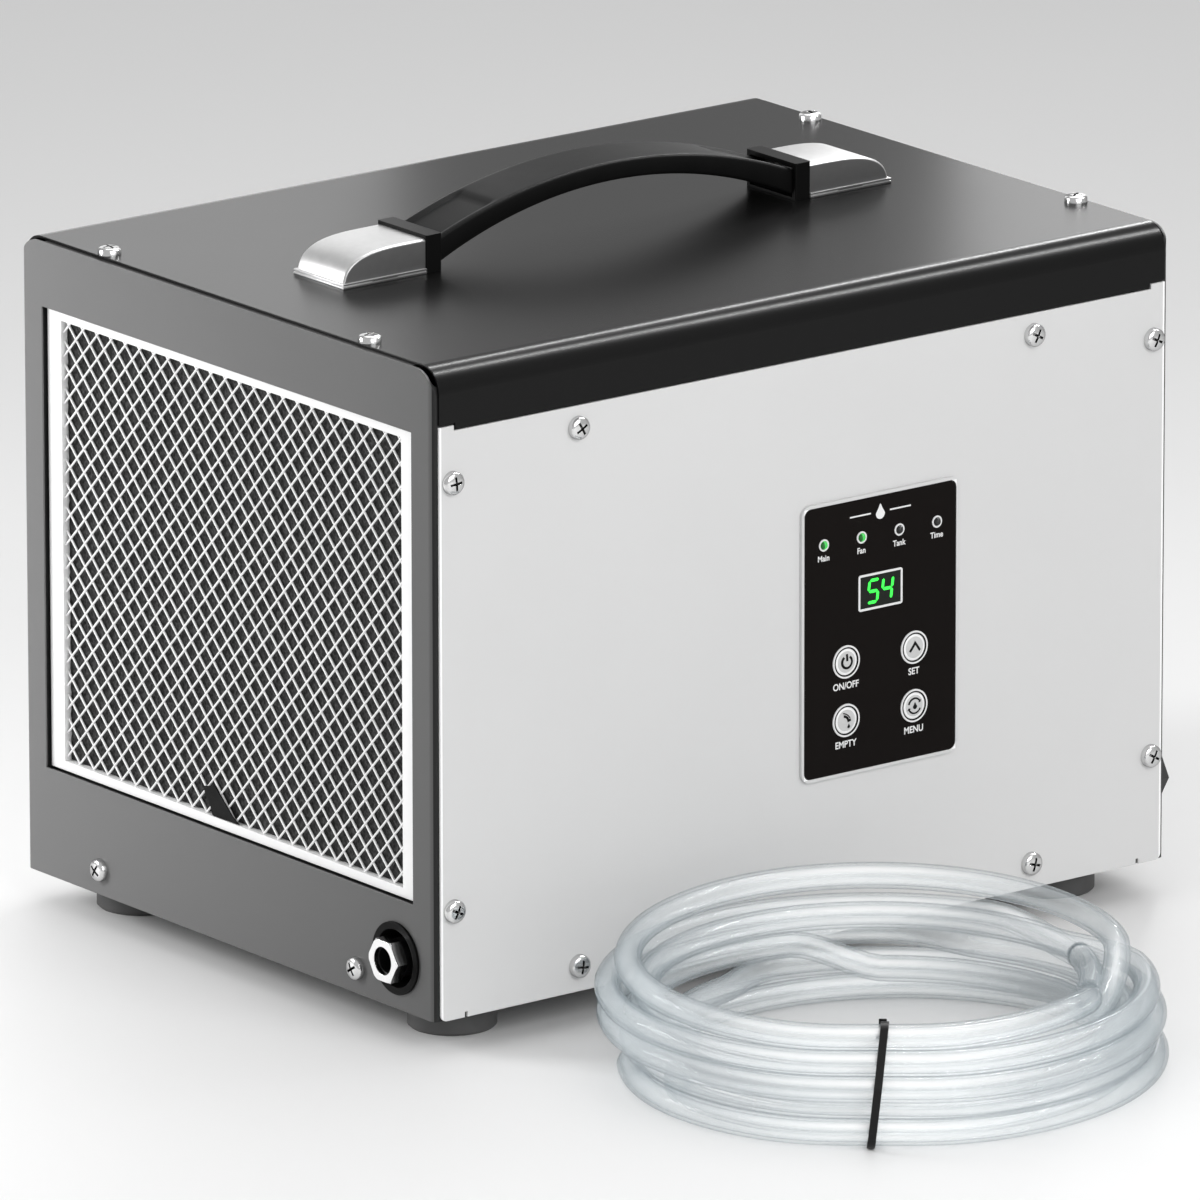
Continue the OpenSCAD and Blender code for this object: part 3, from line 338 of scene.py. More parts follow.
def hosePath():
    # each crossing to the next turn comes a little earlier than the one before, all on the far side of the tie
    first = hose["tieAngle"] - hose["firstSwap"]
    swaps = [first + k * (2 * pi - hose["swap"]) for k in range(len(turns) - 1)]
    start, end = first - hose["leadIn"], swaps[-1] + hose["swap"] + hose["leadOut"]
    steps = int((end - start) / (2 * pi) * hose["stepsPerTurn"])
    path = []
    for i in range(steps + 1):
        angle = start + (end - start) * i / steps
        done = sum(1 for s in swaps if angle >= s + hose["swap"])
        part = ease((angle - swaps[done]) / hose["swap"]) if done < len(swaps) else 0
        r1, z1 = turnAt(done, angle)
        r2, z2 = turnAt(min(done + 1, len(turns) - 1), angle)
        r, z = r1 + (r2 - r1) * part, z1 + (z2 - z1) * part
        path.append(Vector((coilMiddle.x + r * cos(angle), coilMiddle.y + r * sin(angle), z)))
    return path


clearWall = dict(light=(-0.42, -0.55, 0.72), clear=(0.92, 0.97, 0.99, 1), rim=(0.022, 0.07, 0.1, 1),
                 darkening=1.9, streak=14.0, body=0.08, rimWidth=3.3, rimAlpha=0.95, streakAlpha=0.5, cloud=0.04)


def clearTube(name):
    # clear in the middle, with painted white highlight streaks where the wall looks up at the lights; the grey-blue
    # edges are partly the plastic's own tint along its long path and partly painted shade from the dark surroundings
    paint, look = Paint(name), clearWall
    edge = paint.node("ShaderNodeLayerWeight", {}, {"Blend": 0.5})["Facing"]
    normal = paint.node("ShaderNodeNewGeometry")["Normal"]
    toLight = paint.node("ShaderNodeVectorMath", {"operation": "DOT_PRODUCT"}, {0: normal, 1: look["light"]})["Value"]
    # painted highlight: white streaks where the normal faces the fixed light direction
    streak = paint.calc("MAXIMUM", toLight, 0.0) ** look["streak"]
    # painted shade: the edges are tinted darker grey-blue
    tint = paint.mix(edge ** look["darkening"], look["clear"], look["rim"])
    alpha = look["body"] + edge ** look["rimWidth"] * look["rimAlpha"] + streak * look["streakAlpha"]
    alpha = alpha + paint.noise(30, 1) * look["cloud"]
    return paint.finish(paint.mix(streak, tint, grey(1.0)), 0.08, Alpha=alpha, IOR=1.5, shine=0.25,
                        Coat_Weight=0.12, Coat_Roughness=0.03)


def addHose():
    path = hosePath()
    outer, inner = hose["diameter"] / 2, hose["bore"] / 2
    count = hose["ring"]
    rings = []
    for i, point in enumerate(path):
        along = (path[min(i + 1, len(path) - 1)] - path[max(i - 1, 0)]).normalized()
        side = along.cross(Vector((0, 0, 1))).normalized()
        up = side.cross(along)
        rings.append([[point + (side * cos(2 * pi * j / count) + up * sin(2 * pi * j / count)) * r
                       for j in range(count)] for r in (outer, inner)])
    # out along the outer wall and back along the bore, so that the wall is one closed skin
    around = [r[0] for r in rings] + [r[1] for r in reversed(rings)]
    mesh = loft("drainHose", around, closed=True)
    piece = addPiece("drainHose", mesh, clearTube("clearHose"), "hose_coil", ["drain_hose_coil"])
    length = sum((b - a).length for a, b in zip(path, path[1:]))
    piece.visible_shadow = False  # clear walls hardly dim what lies under them
    print("hose length", round(length, 3), "m")
    return piece, path, length


hosePiece, hoseLine, hoseLength = addHose()

# the head and the cut tail are each a size, then a place out from the inner turn and up from the top one
tie = dict(width=3.6 * mm, thick=1.2 * mm, around=72, slant=0.11, middle=27 * mm, aboveFloor=0.1 * mm, bevel=0.5 * mm,
           head=((5.0 * mm, 5.6 * mm, 4.6 * mm), -2 * mm, -6 * mm),
           tail=((1.1 * mm, 3.6 * mm, 14 * mm), -5.4 * mm, -4 * mm))


def nylon(name):
    paint = Paint(name)
    ribs = paint.noise(900, 2)
    return paint.finish(grey(0.005), 0.32 + ribs * 0.1, ribs, 0.03 * mm, soft=0.3 * mm, shine=0.25)


def addTie():
    angle = hose["tieAngle"]
    outward, sideways = Vector((cos(angle), sin(angle), 0)), Vector((-sin(angle), cos(angle), 0))
    spots = [turnAt(k, angle) for k in range(1, len(turns) - 1)]
    base = Vector((coilMiddle.x, coilMiddle.y, 0))
    rings = []
    for j in range(tie["around"]):
        a = 2 * pi * j / tie["around"]
        r, z = max(spots, key=lambda s: s[0] * cos(a) + s[1] * sin(a))
        ring = []
        for grow, across in ((0, -1), (0, 1), (1, 1), (1, -1)):
            reach = hose["diameter"] / 2 + grow * tie["thick"]
            high = max(z + reach * sin(a), tie["aboveFloor"])
            slip = tie["slant"] * (high - tie["middle"])
            ring.append(base + outward * (r + reach * cos(a)) + Vector((0, 0, high))
                        + sideways * (across * tie["width"] / 2 + slip))
        rings.append(ring)
    mesh = loft("hoseTie", rings, closed=True)
    bm = bmesh.new()
    bm.from_mesh(mesh)
    # the head sits at the inner top of the bundle, with the cut tail beside it
    inner = min(s[0] for s in spots) - hose["diameter"] / 2
    top = max(s[1] for s in spots)
    for size, out, up in (tie["head"], tie["tail"]):
        high = top + up
        along = outward * (inner + out) + sideways * tie["slant"] * (high - tie["middle"])
        place = Matrix.Translation(base + along + Vector((0, 0, high))) @ Matrix.Rotation(angle, 4, "Z")
        addBlock(bm, place, size, tie["bevel"], 0.6)
    bm.to_mesh(mesh)
    bm.free()
    return addPiece("hoseTie", sharpen(mesh, 40), nylon("blackNylon"), "hose_coil", ["hose_tie"])


tiePiece = addTie()
print("hose and tie made")


# each finish has its grain in real millimetres, so it suits pieces of any size
def powderCoat(name, colour, roughness, grain=1900, depth=0.018 * mm, soft=0.6 * mm, **more):
    paint = Paint(name)
    cloud = paint.noise(7, 3)
    peel = paint.noise(grain, 2)
    shade = paint.mix(cloud, darker(colour, 0.93), colour)
    return paint.finish(shade, roughness + cloud * 0.05 - 0.025, peel, depth, soft, **more)


def foldedCoat(name, node):
    # the flat face is grey with a painted lighting gradient, lighter towards the rear; the folds round its rim turn
    # away from the light and are painted nearly black as shade
    paint = Paint(name)
    low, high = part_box(node)
    outside = low[0] if low[0] < 0 else high[0]
    depth = paint.calc("ABSOLUTE", paint.axes()["X"] - outside)
    cloud = paint.noise(7, 3)
    # painted light: the face grows lighter from front to rear
    paintedLightFade = paint.node("ShaderNodeMapRange", {}, {"Value": paint.axes()["Y"], "From Min": low[1],
                                                 "From Max": high[1]})["Result"]
    face = paint.mix(paintedLightFade * 0.85 + cloud * 0.15, grey(0.078), grey(0.152))
    # painted shade on the folds, more than 0.7 mm in from the outer face
    shade = paint.mix(depth > 0.7 * mm, face, grey(0.008))
    return paint.finish(shade, 0.4 + cloud * 0.05, paint.noise(1900, 2), 0.018 * mm, 0.4 * mm, shine=0.3)


def edgeHighlightCoat(name, node):
    # light grey, with painted highlights on the upright edges where the coat is rolled over the fold
    paint = Paint(name)
    reach = paint.calc("ABSOLUTE", paint.axes()["X"])
    cloud = paint.noise(7, 3)
    face = paint.mix(cloud, grey(0.6), grey(0.64))
    # painted highlight: the last millimetre of the upright edges is near white
    shade = paint.mix(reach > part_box(node)[1][0] - 1.0 * mm, face, grey(0.95))
    return paint.finish(shade, 0.43 + cloud * 0.05, paint.noise(1900, 2), 0.018 * mm, 0.4 * mm,
                        shine=0.35)


def plated(name, colour, roughness, soft=0.3 * mm, scuff=120, rim=0.0):
    # the rim paints a dark reflection on the metal where it turns away from the eye, as chrome does beside dark
    # studio walls, and ambient occlusion paints shade into recesses such as the crossed slots
    paint = Paint(name)
    wear = paint.noise(scuff, 4)
    if rim:
        edge = paint.node("ShaderNodeLayerWeight", {}, {"Blend": 0.5})["Facing"]
        # painted shade: ambient occlusion darkens the colour in recesses
        recessShade = paint.node("ShaderNodeAmbientOcclusion", {"samples": 6, "only_local": True}, {"Distance": 1.5 * mm})
        # painted reflection: darker where the surface turns away from the eye
        colour = paint.mix(edge ** 1.6 * rim, colour, grey(0.02))
        colour = paint.mix(recessShade["AO"] ** 2.0, grey(0.01), colour)
    return paint.finish(colour, roughness + wear * 0.08, paint.noise(1500, 2), 0.006 * mm, soft, Metallic=1.0)


def moulded(name, colour, roughness, grain=1400, depth=0.02 * mm, soft=0.5 * mm, **more):
    paint = Paint(name)
    skin = paint.noise(grain, 3)
    patch = paint.noise(25, 2)
    shade = paint.mix(patch, darker(colour, 0.9), colour)
    return paint.finish(shade, roughness + patch * 0.08 - 0.04, skin, depth, soft, **more)


def rubbery(name, colour=grey(0.016), roughness=0.55, bloom=grey(0.05), shine=0.4):
    paint = Paint(name)
    dust = paint.noise(60, 5)
    shade = paint.mix(dust ** 3.0 * 0.5, colour, bloom)
    return paint.finish(shade, roughness + dust * 0.12, paint.noise(1100, 3), 0.03 * mm, 0.6 * mm,
                        shine=shine)


def openFoam(name):
    paint = Paint(name)
    pores = paint.cells(620)
    clumps = paint.noise(330, 4)
    shade = paint.ramp(pores * 0.6 + clumps * 0.7, (0.25, grey(0.003)), (0.55, grey(0.013)), (0.9, grey(0.04)))
    return paint.finish(shade, 0.95, pores + clumps, 0.7 * mm)


def woven(name, colour=grey(0.004)):
    paint = Paint(name)
    axis = paint.axes(paint.centred((0, 0, 0), (radians(35), 0, 0)))
    warp = paint.calc("SINE", axis["Y"] * 9000)
    weft = paint.calc("SINE", axis["Z"] * 9000)
    weave = warp * weft * 0.5 + 0.5
    shade = paint.mix(weave, colour, grey(0.011))
    return paint.finish(shade, 0.75, weave, 0.12 * mm, shine=0.15)


def brightFins(name):
    paint = Paint(name)
    haze = paint.noise(90, 3)
    return paint.finish(paint.mix(haze, grey(0.62), (0.78, 0.8, 0.82, 1)), 0.28 + haze * 0.15, Metallic=1.0)


def bareCopper(name):
    paint = Paint(name)
    tarnish = paint.noise(45, 5)
    shade = paint.mix(tarnish ** 2.0, (0.78, 0.42, 0.27, 1), (0.35, 0.17, 0.1, 1))
    return paint.finish(shade, 0.25 + tarnish * 0.3, paint.noise(600, 3), 0.02 * mm, Metallic=1.0)


def laminate(name):
    paint = Paint(name)
    tracks = paint.node("ShaderNodeTexBrick", {}, {
        "Vector": paint.centred((0, 0, 0), (radians(90), 0, 0)), "Scale": 180.0, "Mortar Size": 0.035,
        "Color1": (0.01, 0.09, 0.04, 1), "Color2": (0.012, 0.12, 0.05, 1), "Mortar": (0.05, 0.25, 0.1, 1)})
    return paint.finish(tracks["Color"], 0.35, paint.noise(800, 2), 0.02 * mm, Coat_Weight=0.4)


def inkPrint(name, colour):
    paint = Paint(name)
    speck = paint.noise(2500, 2)
    shade = paint.mix(speck, colour, darker(colour, 0.85))
    return paint.finish(shade, 0.5, shine=0.1)


def glowing(name, colour, strength):
    paint = Paint(name)
    return paint.finish(colour, 0.4, paint.noise(1500, 1), 0.01 * mm, Emission_Color=colour,
                        Emission_Strength=strength)


panel = dict(centre=middle("control_bezel"), width=90.5 * mm, height=129.4 * mm, lampGap=21.7 * mm)
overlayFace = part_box("control_overlay")[0][1]


def lampGreen(name):
    # the two lamps left of the panel's middle are lit, with the left third of each in shade
    paint = Paint(name)
    x = paint.axes()["X"] - panel["centre"].x
    lit = x < 0.0
    half = panel["lampGap"] / 2
    across = paint.calc("WRAP", x + half, half, -half)
    bright = across > -0.55 * mm
    ripple = paint.noise(700, 1)
    colour = paint.mix(lit, grey(0.02), (0.02, 0.16, 0.03, 1))
    glow = paint.mix(bright * lit, grey(0.0), (0.05, 0.62, 0.09, 1))
    return paint.finish(colour, 0.15, ripple, 0.02 * mm, Emission_Color=glow, Emission_Strength=0.85,
                        shine=0.3)


def bezelCoat(name):
    # a white line next to the overlay and a band in the panel's own grey outside it
    paint = Paint(name)
    axis = paint.axes(paint.centred(panel["centre"]))
    reach = []
    for key, half in (("X", panel["width"] / 2), ("Z", panel["height"] / 2)):
        reach.append(paint.calc("ABSOLUTE", axis[key]) - half)
    near = paint.calc("MAXIMUM", reach[0], reach[1])
    shade = paint.mix(near > -1.5 * mm, grey(0.95), grey(0.6))
    return paint.finish(shade, 0.4, paint.noise(1400, 2), 0.01 * mm, 0.4 * mm)


def capCoat(name):
    # satin silver with painted shade on the upright sides
    paint = Paint(name)
    normal = paint.node("ShaderNodeNewGeometry")["Normal"]
    axis = paint.split(normal)
    side = paint.calc("ABSOLUTE", axis["Y"]) > 0.93
    grain = paint.noise(300, 4)
    # painted shade: faces that look along Y are near black
    shade = paint.mix(side * 0.84, paint.mix(grain, grey(0.44), grey(0.53)), grey(0.07))
    return paint.finish(shade, 0.38 + grain * 0.06, paint.noise(1500, 2), 0.008 * mm, Metallic=0.7)


def buttonSkin(name, centre):
    # a light rim round a slightly darker brushed middle
    paint = Paint(name)
    axis = paint.axes(paint.centred(centre))
    radius = (axis["X"] ** 2.0 + axis["Z"] ** 2.0) ** 0.5
    rim = radius > 5.0 * mm
    grain = paint.noise(400, 3)
    middleTone = paint.mix(grain, grey(0.5), grey(0.6))
    return paint.finish(paint.mix(rim, middleTone, grey(0.88)), 0.4 + grain * 0.1, grain, 0.01 * mm,
                        shine=0.3)


finishes = {
    "top_cover": powderCoat("blackSatinCoat", grey(0.006), 0.25, depth=0.008 * mm, soft=0.5 * mm,
                            shine=0.14),
    "intake_panel": foldedCoat("darkGreyCoat", "intake_panel"),
    "outlet_panel": foldedCoat("darkGreyCoatOutlet", "outlet_panel"),
    "front_panel": edgeHighlightCoat("lightGreyCoat", "front_panel"),
    "rear_panel": edgeHighlightCoat("lightGreyCoatRear", "rear_panel"),
    "cross_rails": powderCoat("railCoat", grey(0.03), 0.45),
    "base_tray": powderCoat("trayCoat", grey(0.03), 0.45),
    "fan_shroud": powderCoat("shroudCoat", grey(0.03), 0.45),
    "fan_bracket": powderCoat("bracketCoat", grey(0.03), 0.45),
    "rubber_feet": rubbery("footRubber", grey(0.075), 0.45, grey(0.13)),
    "handle_collars": moulded("collarPlastic", grey(0.005), 0.34, shine=0.07),
    "filter_channel": moulded("channelPlastic", grey(0.012), 0.6),
    "filter_frame": moulded("frameWhite", grey(0.85), 0.4, soft=0.1 * mm),
    "control_bezel": bezelCoat("bezelSilver"),
    "silver_rings": moulded("ringSilver", grey(0.78), 0.3, soft=0.15 * mm),
    "control_overlay": moulded("overlayGloss", (0.0062, 0.0048, 0.0043, 1), 0.2, 300, 0.004 * mm, 0.3 * mm,
                               shine=0.05),
    "display_window": moulded("smokedWindow", (0.014, 0.017, 0.014, 1), 0.2, soft=0.1 * mm, shine=0.1),
    "led_lenses": lampGreen("lampLens"),
    "control_board": laminate("boardLaminate"),
    "control_box": moulded("boxPlastic", grey(0.03), 0.5),
    "drain_grommet": rubbery("grommetRubber", grey(0.003), 0.35, grey(0.006), 0.06),
    "fitting_body": moulded("fittingPlastic", grey(0.005), 0.35, shine=0.3),
    "cable_gland": moulded("glandPlastic", grey(0.014), 0.42),
    "drain_tube": clearTube("innerHose"),
    "check_valve": moulded("valvePlastic", grey(0.75), 0.4),
    "pump_reservoir": moulded("reservoirPlastic", grey(0.03), 0.5),
    "pump_head": moulded("pumpPlastic", (0.7, 0.69, 0.64, 1), 0.45),
    "pump_motor": powderCoat("pumpMotorCoat", grey(0.06), 0.35),
    "pump_impeller": moulded("pumpWheelPlastic", (0.78, 0.76, 0.68, 1), 0.4),
    "pump_float": moulded("floatFoam", (0.75, 0.28, 0.04, 1), 0.7, 500, 0.1 * mm),
    "drip_tray": moulded("trayPlastic", grey(0.05), 0.5),
    "coil_end_plates": brightFins("endPlateAluminium"),
    "evaporator_tubes": bareCopper("evaporatorCopper"),
    "condenser_tubes": bareCopper("condenserCopper"),
    "refrigerant_lines": bareCopper("lineCopper"),
    "filter_drier": bareCopper("drierCopper"),
    "compressor": powderCoat("compressorEnamel", grey(0.015), 0.28, 700, 0.06 * mm, 1.2 * mm, Coat_Weight=0.3),
    "compressor_mounts": rubbery("mountRubber"),
    "run_capacitor": plated("canAluminium", grey(0.72), 0.32),
    "fan_motor": powderCoat("fanMotorCoat", grey(0.05), 0.4),
    "fan_shaft": plated("groundSteel", grey(0.55), 0.25),
    "fan_impeller": moulded("fanPlastic", grey(0.02), 0.42),
    "outlet_grille": plated("guardWire", grey(0.62), 0.25),
}
for key in ("power", "set", "drain", "mode"):
    finishes["button_" + key] = buttonSkin("buttonSilver_" + key, middle("button_" + key))
for node, material in finishes.items():
    slots = frame["nodes"][node].data.materials
    slots.clear()
    slots.append(material)
print("finishes given to", len(finishes), "nodes")


screw = dict(headRadius=5.35 * mm, headHeight=3.7 * mm, shankRadius=2.3 * mm, crossLength=6.4 * mm,
             crossWidth=1.15 * mm, crossDepth=1.9 * mm, boxy=0.33, seed=7)


def screwShape(material, shank):
    # a pan head with a crossed recess, set on every point and turned along the point's own direction
    shape = Shape("panScrews", material, shankLength=shank, **screw)
    ball = shape.node("GeometryNodeMeshUVSphere", {}, {"Segments": 28, "Rings": 14, "Radius": shape["headRadius"]})
    axis = shape.split(shape.node("GeometryNodeInputPosition")["Position"])
    rise = shape.calc("MAXIMUM", axis["Z"] / shape["headRadius"], 0.0)
    high = rise ** shape["boxy"] * shape["headHeight"]
    head = shape.placed(ball["Mesh"], "Position", shape.vector(axis["X"], axis["Y"], high))
    bars = []
    for length, width in ((shape["crossLength"], shape["crossWidth"]), (shape["crossWidth"], shape["crossLength"])):
        bar = shape.node("GeometryNodeMeshCube", {}, {"Size": shape.vector(length, width, shape["crossDepth"] * 2)})
        bars.append(shape.moved(bar["Mesh"], "Translation", shape.vector(z=shape["headHeight"] * 1.02)))
    cut = shape.node("GeometryNodeMeshBoolean", {"operation": "DIFFERENCE"}, {"Mesh 1": head, "Mesh 2": bars})["Mesh"]
    rod = shape.node("GeometryNodeMeshCylinder", {}, {"Vertices": 16, "Radius": shape["shankRadius"],
                                                      "Depth": shape["shankLength"]})["Mesh"]
    # the shank starts half a millimetre up inside the head
    rod = shape.moved(rod, "Translation", shape.vector(z=shape["shankLength"] * -0.5 + 0.5 * mm))
    whole = shape.joined(cut, rod)
    facing = shape.node("GeometryNodeInputNamedAttribute", {"data_type": "FLOAT_VECTOR"}, {"Name": "facing"})
    turn = shape.node("FunctionNodeAlignRotationToVector", {"axis": "Z"}, {"Vector": facing["Attribute"]})["Rotation"]
    spin = shape.node("FunctionNodeRandomValue", {}, {"Min": 0.0, "Max": 1.5, "Seed": shape["seed"]})["Value"]
    own = shape.node("FunctionNodeAxisAngleToRotation", {}, {"Axis": (0, 0, 1), "Angle": spin})["Rotation"]
    both = shape.node("FunctionNodeRotateRotation", {"rotation_space": "LOCAL"}, {"Rotation": turn, "Rotate By": own})
    return shape, shape.repeated(shape["Geometry"], whole, Rotation=both["Rotation"])


def addScrews(name, places, shank, material, stands):
    start = bpy.data.meshes.new(name + "Spots")
    start.from_pydata([tuple(p) for p, _ in places], [], [])
    facing = start.attributes.new("facing", "FLOAT_VECTOR", "POINT")
    for item, (_, way) in zip(facing.data, places):
        item.vector = way
    shape, put = screwShape(material, shank)
    piece = shape.grow(name, put, start)
    sharpen(piece.data, 38)
    return settle(piece, "cabinet", stands)


screwPlaces = dict(face=((200, 50.5), (200, 247.5), (130, 12), (130, 261)), roof=(201.5, 97.5), end=(97, 12),
                   feet=(172.5, 117.5, 7), caps=(138, 1.2), guard=(110, 2.2))


def cabinetScrewSpots():
    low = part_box("front_panel")[0]
    front, rear = low[1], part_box("rear_panel")[1][1]
    left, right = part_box("intake_panel")[0][0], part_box("outlet_panel")[1][0]
    bottom, roof = low[2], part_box("top_cover")[1][2]
    spots = []
    for s in (-1, 1):
        for x, z in screwPlaces["face"]:
            spots.append((Vector((s * x * mm, front, bottom + z * mm)), (0, -1, 0)))
            spots.append((Vector((s * x * mm, rear, bottom + z * mm)), (0, 1, 0)))
        for t in (-1, 1):
            x, y = screwPlaces["roof"]
            spots.append((Vector((s * x * mm, t * y * mm, roof)), (0, 0, 1)))
        for t in (-1, 1):
            y, z = screwPlaces["end"]
            spots.append((Vector((left if s < 0 else right, t * y * mm, bottom + z * mm)), (s, 0, 0)))
    return spots


def machineScrewSpots():
    roof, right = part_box("top_cover")[1][2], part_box("outlet_panel")[1][0]
    x, y, z = (mm * v for v in screwPlaces["feet"])
    spots = [(Vector((s * x, t * y, z)), (0, 0, -1)) for s in (-1, 1) for t in (-1, 1)]
    x, under = (mm * v for v in screwPlaces["caps"])
    spots += [(Vector((s * x, 0, roof - under)), (0, 0, -1)) for s in (-1, 1)]
    axis = middle("fan_impeller")
    radius, proud = (mm * v for v in screwPlaces["guard"])
    for k in range(4):
        a = radians(45 + 90 * k)
        spots.append((Vector((right + proud, radius * cos(a), axis.z + radius * sin(a))), (1, 0, 0)))
    return spots


screwChrome = plated("screwChrome", grey(0.78), 0.14, soft=0.15 * mm, rim=0.95)
addScrews("cabinetScrews", cabinetScrewSpots(), 9 * mm, screwChrome, ["cabinet_screws"])
addScrews("machineScrews", machineScrewSpots(), 9 * mm, screwChrome, ["machine_screws"])
print("screws set")


lattice = dict(pitchY=10.8 * mm, pitchZ=11.1 * mm, strand=1.02 * mm, depth=1.15 * mm, under=0.45 * mm,
               inset=0.8 * mm)


def addLattice(material):
    low, high = (Vector(v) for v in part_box("filter_mesh"))
    width, height = high.y - low.y, high.z - low.z
    place = (low.x + lattice["inset"], 0.0, low.z)
    shape = Shape("diamondMesh", material, width=width, height=height, place=place, **lattice)
    slope = shape["pitchY"] / shape["pitchZ"]
    reach = shape["height"] * slope
    count = int((width + height * lattice["pitchY"] / lattice["pitchZ"]) / lattice["pitchY"])
    profile = shape.node("GeometryNodeCurvePrimitiveCircle", {}, {"Resolution": 10, "Radius": 0.5})["Curve"]
    profile = shape.moved(profile, "Scale", shape.vector(shape["depth"], shape["strand"], 1.0))
    families = []
    for side in (-1.0, 1.0):
        spots = shape.node("GeometryNodePoints", {}, {"Count": count})["Points"]
        line = shape.node("GeometryNodeCurvePrimitiveLine")["Curve"]
        lines = shape.node("GeometryNodeRealizeInstances", {}, {"Geometry": shape.repeated(spots, line)})["Geometry"]
        index = shape.node("GeometryNodeInputIndex")["Index"]
        number = shape.calc("FLOOR", index * 0.5)
        isEnd = index - number * 2.0
        # where this strand would meet the window's lower edge
        foot = shape["width"] * -0.5 - reach + (number + 0.5) * shape["pitchY"]
        first = shape.calc("MAXIMUM", (shape["width"] * -0.5 - foot) / slope, 0.0)
        last = shape.calc("MINIMUM", (shape["width"] * 0.5 - foot) / slope, shape["height"])
        z = first + (last - first) * isEnd
        # the strands of the second family lie a little deeper
        spot = shape.vector(shape["under"] * (0.5 + side * 0.5), (foot + z * slope) * side, z)
        moved = shape.node("ShaderNodeVectorMath", {"operation": "ADD"}, {0: spot, 1: shape["place"]})["Vector"]
        laid = shape.placed(lines, "Position", moved)
        laid = shape.node("GeometryNodeSetCurveNormal", {"mode": "Z_UP"}, {"Curve": laid})["Curve"]
        families.append(shape.node("GeometryNodeCurveToMesh", {}, {"Curve": laid, "Profile Curve": profile,
                                                                   "Fill Caps": True})["Mesh"])
    piece = shape.grow("diamondMesh", shape.joined(*families))
    piece.data.shade_smooth()
    return settle(piece, "filter_cassette", ["filter_mesh"])


foam = dict(pores=420.0, roughness=0.9 * mm)


def addFoam(material):
    low, high = (Vector(v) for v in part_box("filter_foam"))
    size = high - low
    shape = Shape("foamPad", material, size=tuple(size), place=tuple((low + high) / 2), **foam)
    block = shape.node("GeometryNodeMeshCube", {}, {"Size": shape["size"], "Vertices X": 2, "Vertices Y": 130,
                                                    "Vertices Z": 106})["Mesh"]
    at = shape.node("GeometryNodeInputPosition")["Position"]
    lumps = shape.node("ShaderNodeTexNoise", {}, {"Vector": at, "Scale": shape["pores"], "Detail": 2.0})["Fac"]
    front = shape.split(at)["X"] < 0.0
    push = (lumps - 0.25) * shape["roughness"] * front * 2.0
    block = shape.placed(block, "Offset", shape.vector(push))
    piece = shape.grow("foamPad", shape.moved(block, "Translation", shape["place"]))
    return settle(piece, "filter_cassette", ["filter_foam"])


ribbon = dict(left=((-4.6, 56.3), (4.2, 62.5), (13.8, 70.5)), right=((15, 56.3), (18.3, 62), (22.6, 68.5)),
              thick=0.5 * mm, rows=14, columns=18)


def bend(points, t):
    # a quadratic curve through three points
    (ax, ay), (bx, by), (cx, cy) = points
    u = 1 - t
    px, py = 2 * bx - (ax + cx) / 2, 2 * by - (ay + cy) / 2
    return u * u * ax + 2 * u * t * px + t * t * cx, u * u * ay + 2 * u * t * py + t * t * cy


def addRibbon(material):
    low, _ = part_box("filter_mesh")
    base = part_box("front_panel")[0][2]
    rows, columns = ribbon["rows"], ribbon["columns"]
    points = []
    for i in range(rows + 1):
        left, right = bend(ribbon["left"], i / rows), bend(ribbon["right"], i / rows)
        for j in range(columns + 1):
            s = j / columns
            y, z = left[0] + (right[0] - left[0]) * s, left[1] + (right[1] - left[1]) * s
            curl = 0.55 * sin(pi * s) * (i / rows) + 0.35 * sin(2.2 * pi * i / rows + s)
            points.append(Vector((low[0] - (0.25 + max(curl, 0)) * mm, y * mm, base + z * mm)))
    wide = columns + 1
    faces = [(i * wide + j, (i + 1) * wide + j, (i + 1) * wide + j + 1, i * wide + j + 1)
             for i in range(rows) for j in range(columns)]
    mesh = meshFrom("pullRibbon", points, faces)
    piece = addPiece("pullRibbon", mesh, material, "filter_cassette", ["filter_pull_tab"])
    length = (points[-wide // 2] - points[wide // 2]).length
    thick = piece.modifiers.new("thickness", "SOLIDIFY")
    thick.thickness, thick.offset = ribbon["thick"], 0


addLattice(moulded("latticeWhite", grey(0.9), 0.35, soft=0))
addFoam(openFoam("filterFoam"))
addRibbon(woven("pullRibbon"))
print("filter dressed")


fins = dict(pitch=2.1 * mm, thick=0.14 * mm)


def addFins(node, name):
    low, high = (Vector(v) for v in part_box(node))
    size = high - low
    shape = Shape(name, brightFins(name + "Aluminium"), plate=(size.x, fins["thick"], size.z), pitch=fins["pitch"],
                  start=(low.x + size.x / 2, low.y + fins["thick"], low.z + size.z / 2),
                  count=int(size.y / fins["pitch"]))
    plate = shape.node("GeometryNodeMeshCube", {}, {"Size": shape["plate"]})["Mesh"]
    row = shape.node("GeometryNodeMeshLine", {}, {"Count": shape["count"], "Start Location": shape["start"],
                                                  "Offset": shape.vector(0.0, shape["pitch"], 0.0)})["Mesh"]
    return settle(shape.grow(name, shape.repeated(row, plate)), "cabinet", [node])


addFins("evaporator_fins", "evaporatorFins")
addFins("condenser_fins", "condenserFins")
print("fins cut")


strap = dict(topRadius=270 * mm, underRadius=235 * mm, rise=34.2 * mm, under=25.2 * mm, width=31 * mm,
             ribStart=66 * mm, ribWidth=3 * mm, ribSlope=0.9 * mm, ribFade=5 * mm, recess=1.3 * mm, corner=1.6 * mm,
             aboveCover=1.2 * mm, thinnest=4 * mm, stations=120)


def arch(x, rise, radius):
    return rise - (radius - sqrt(radius ** 2 - x * x))


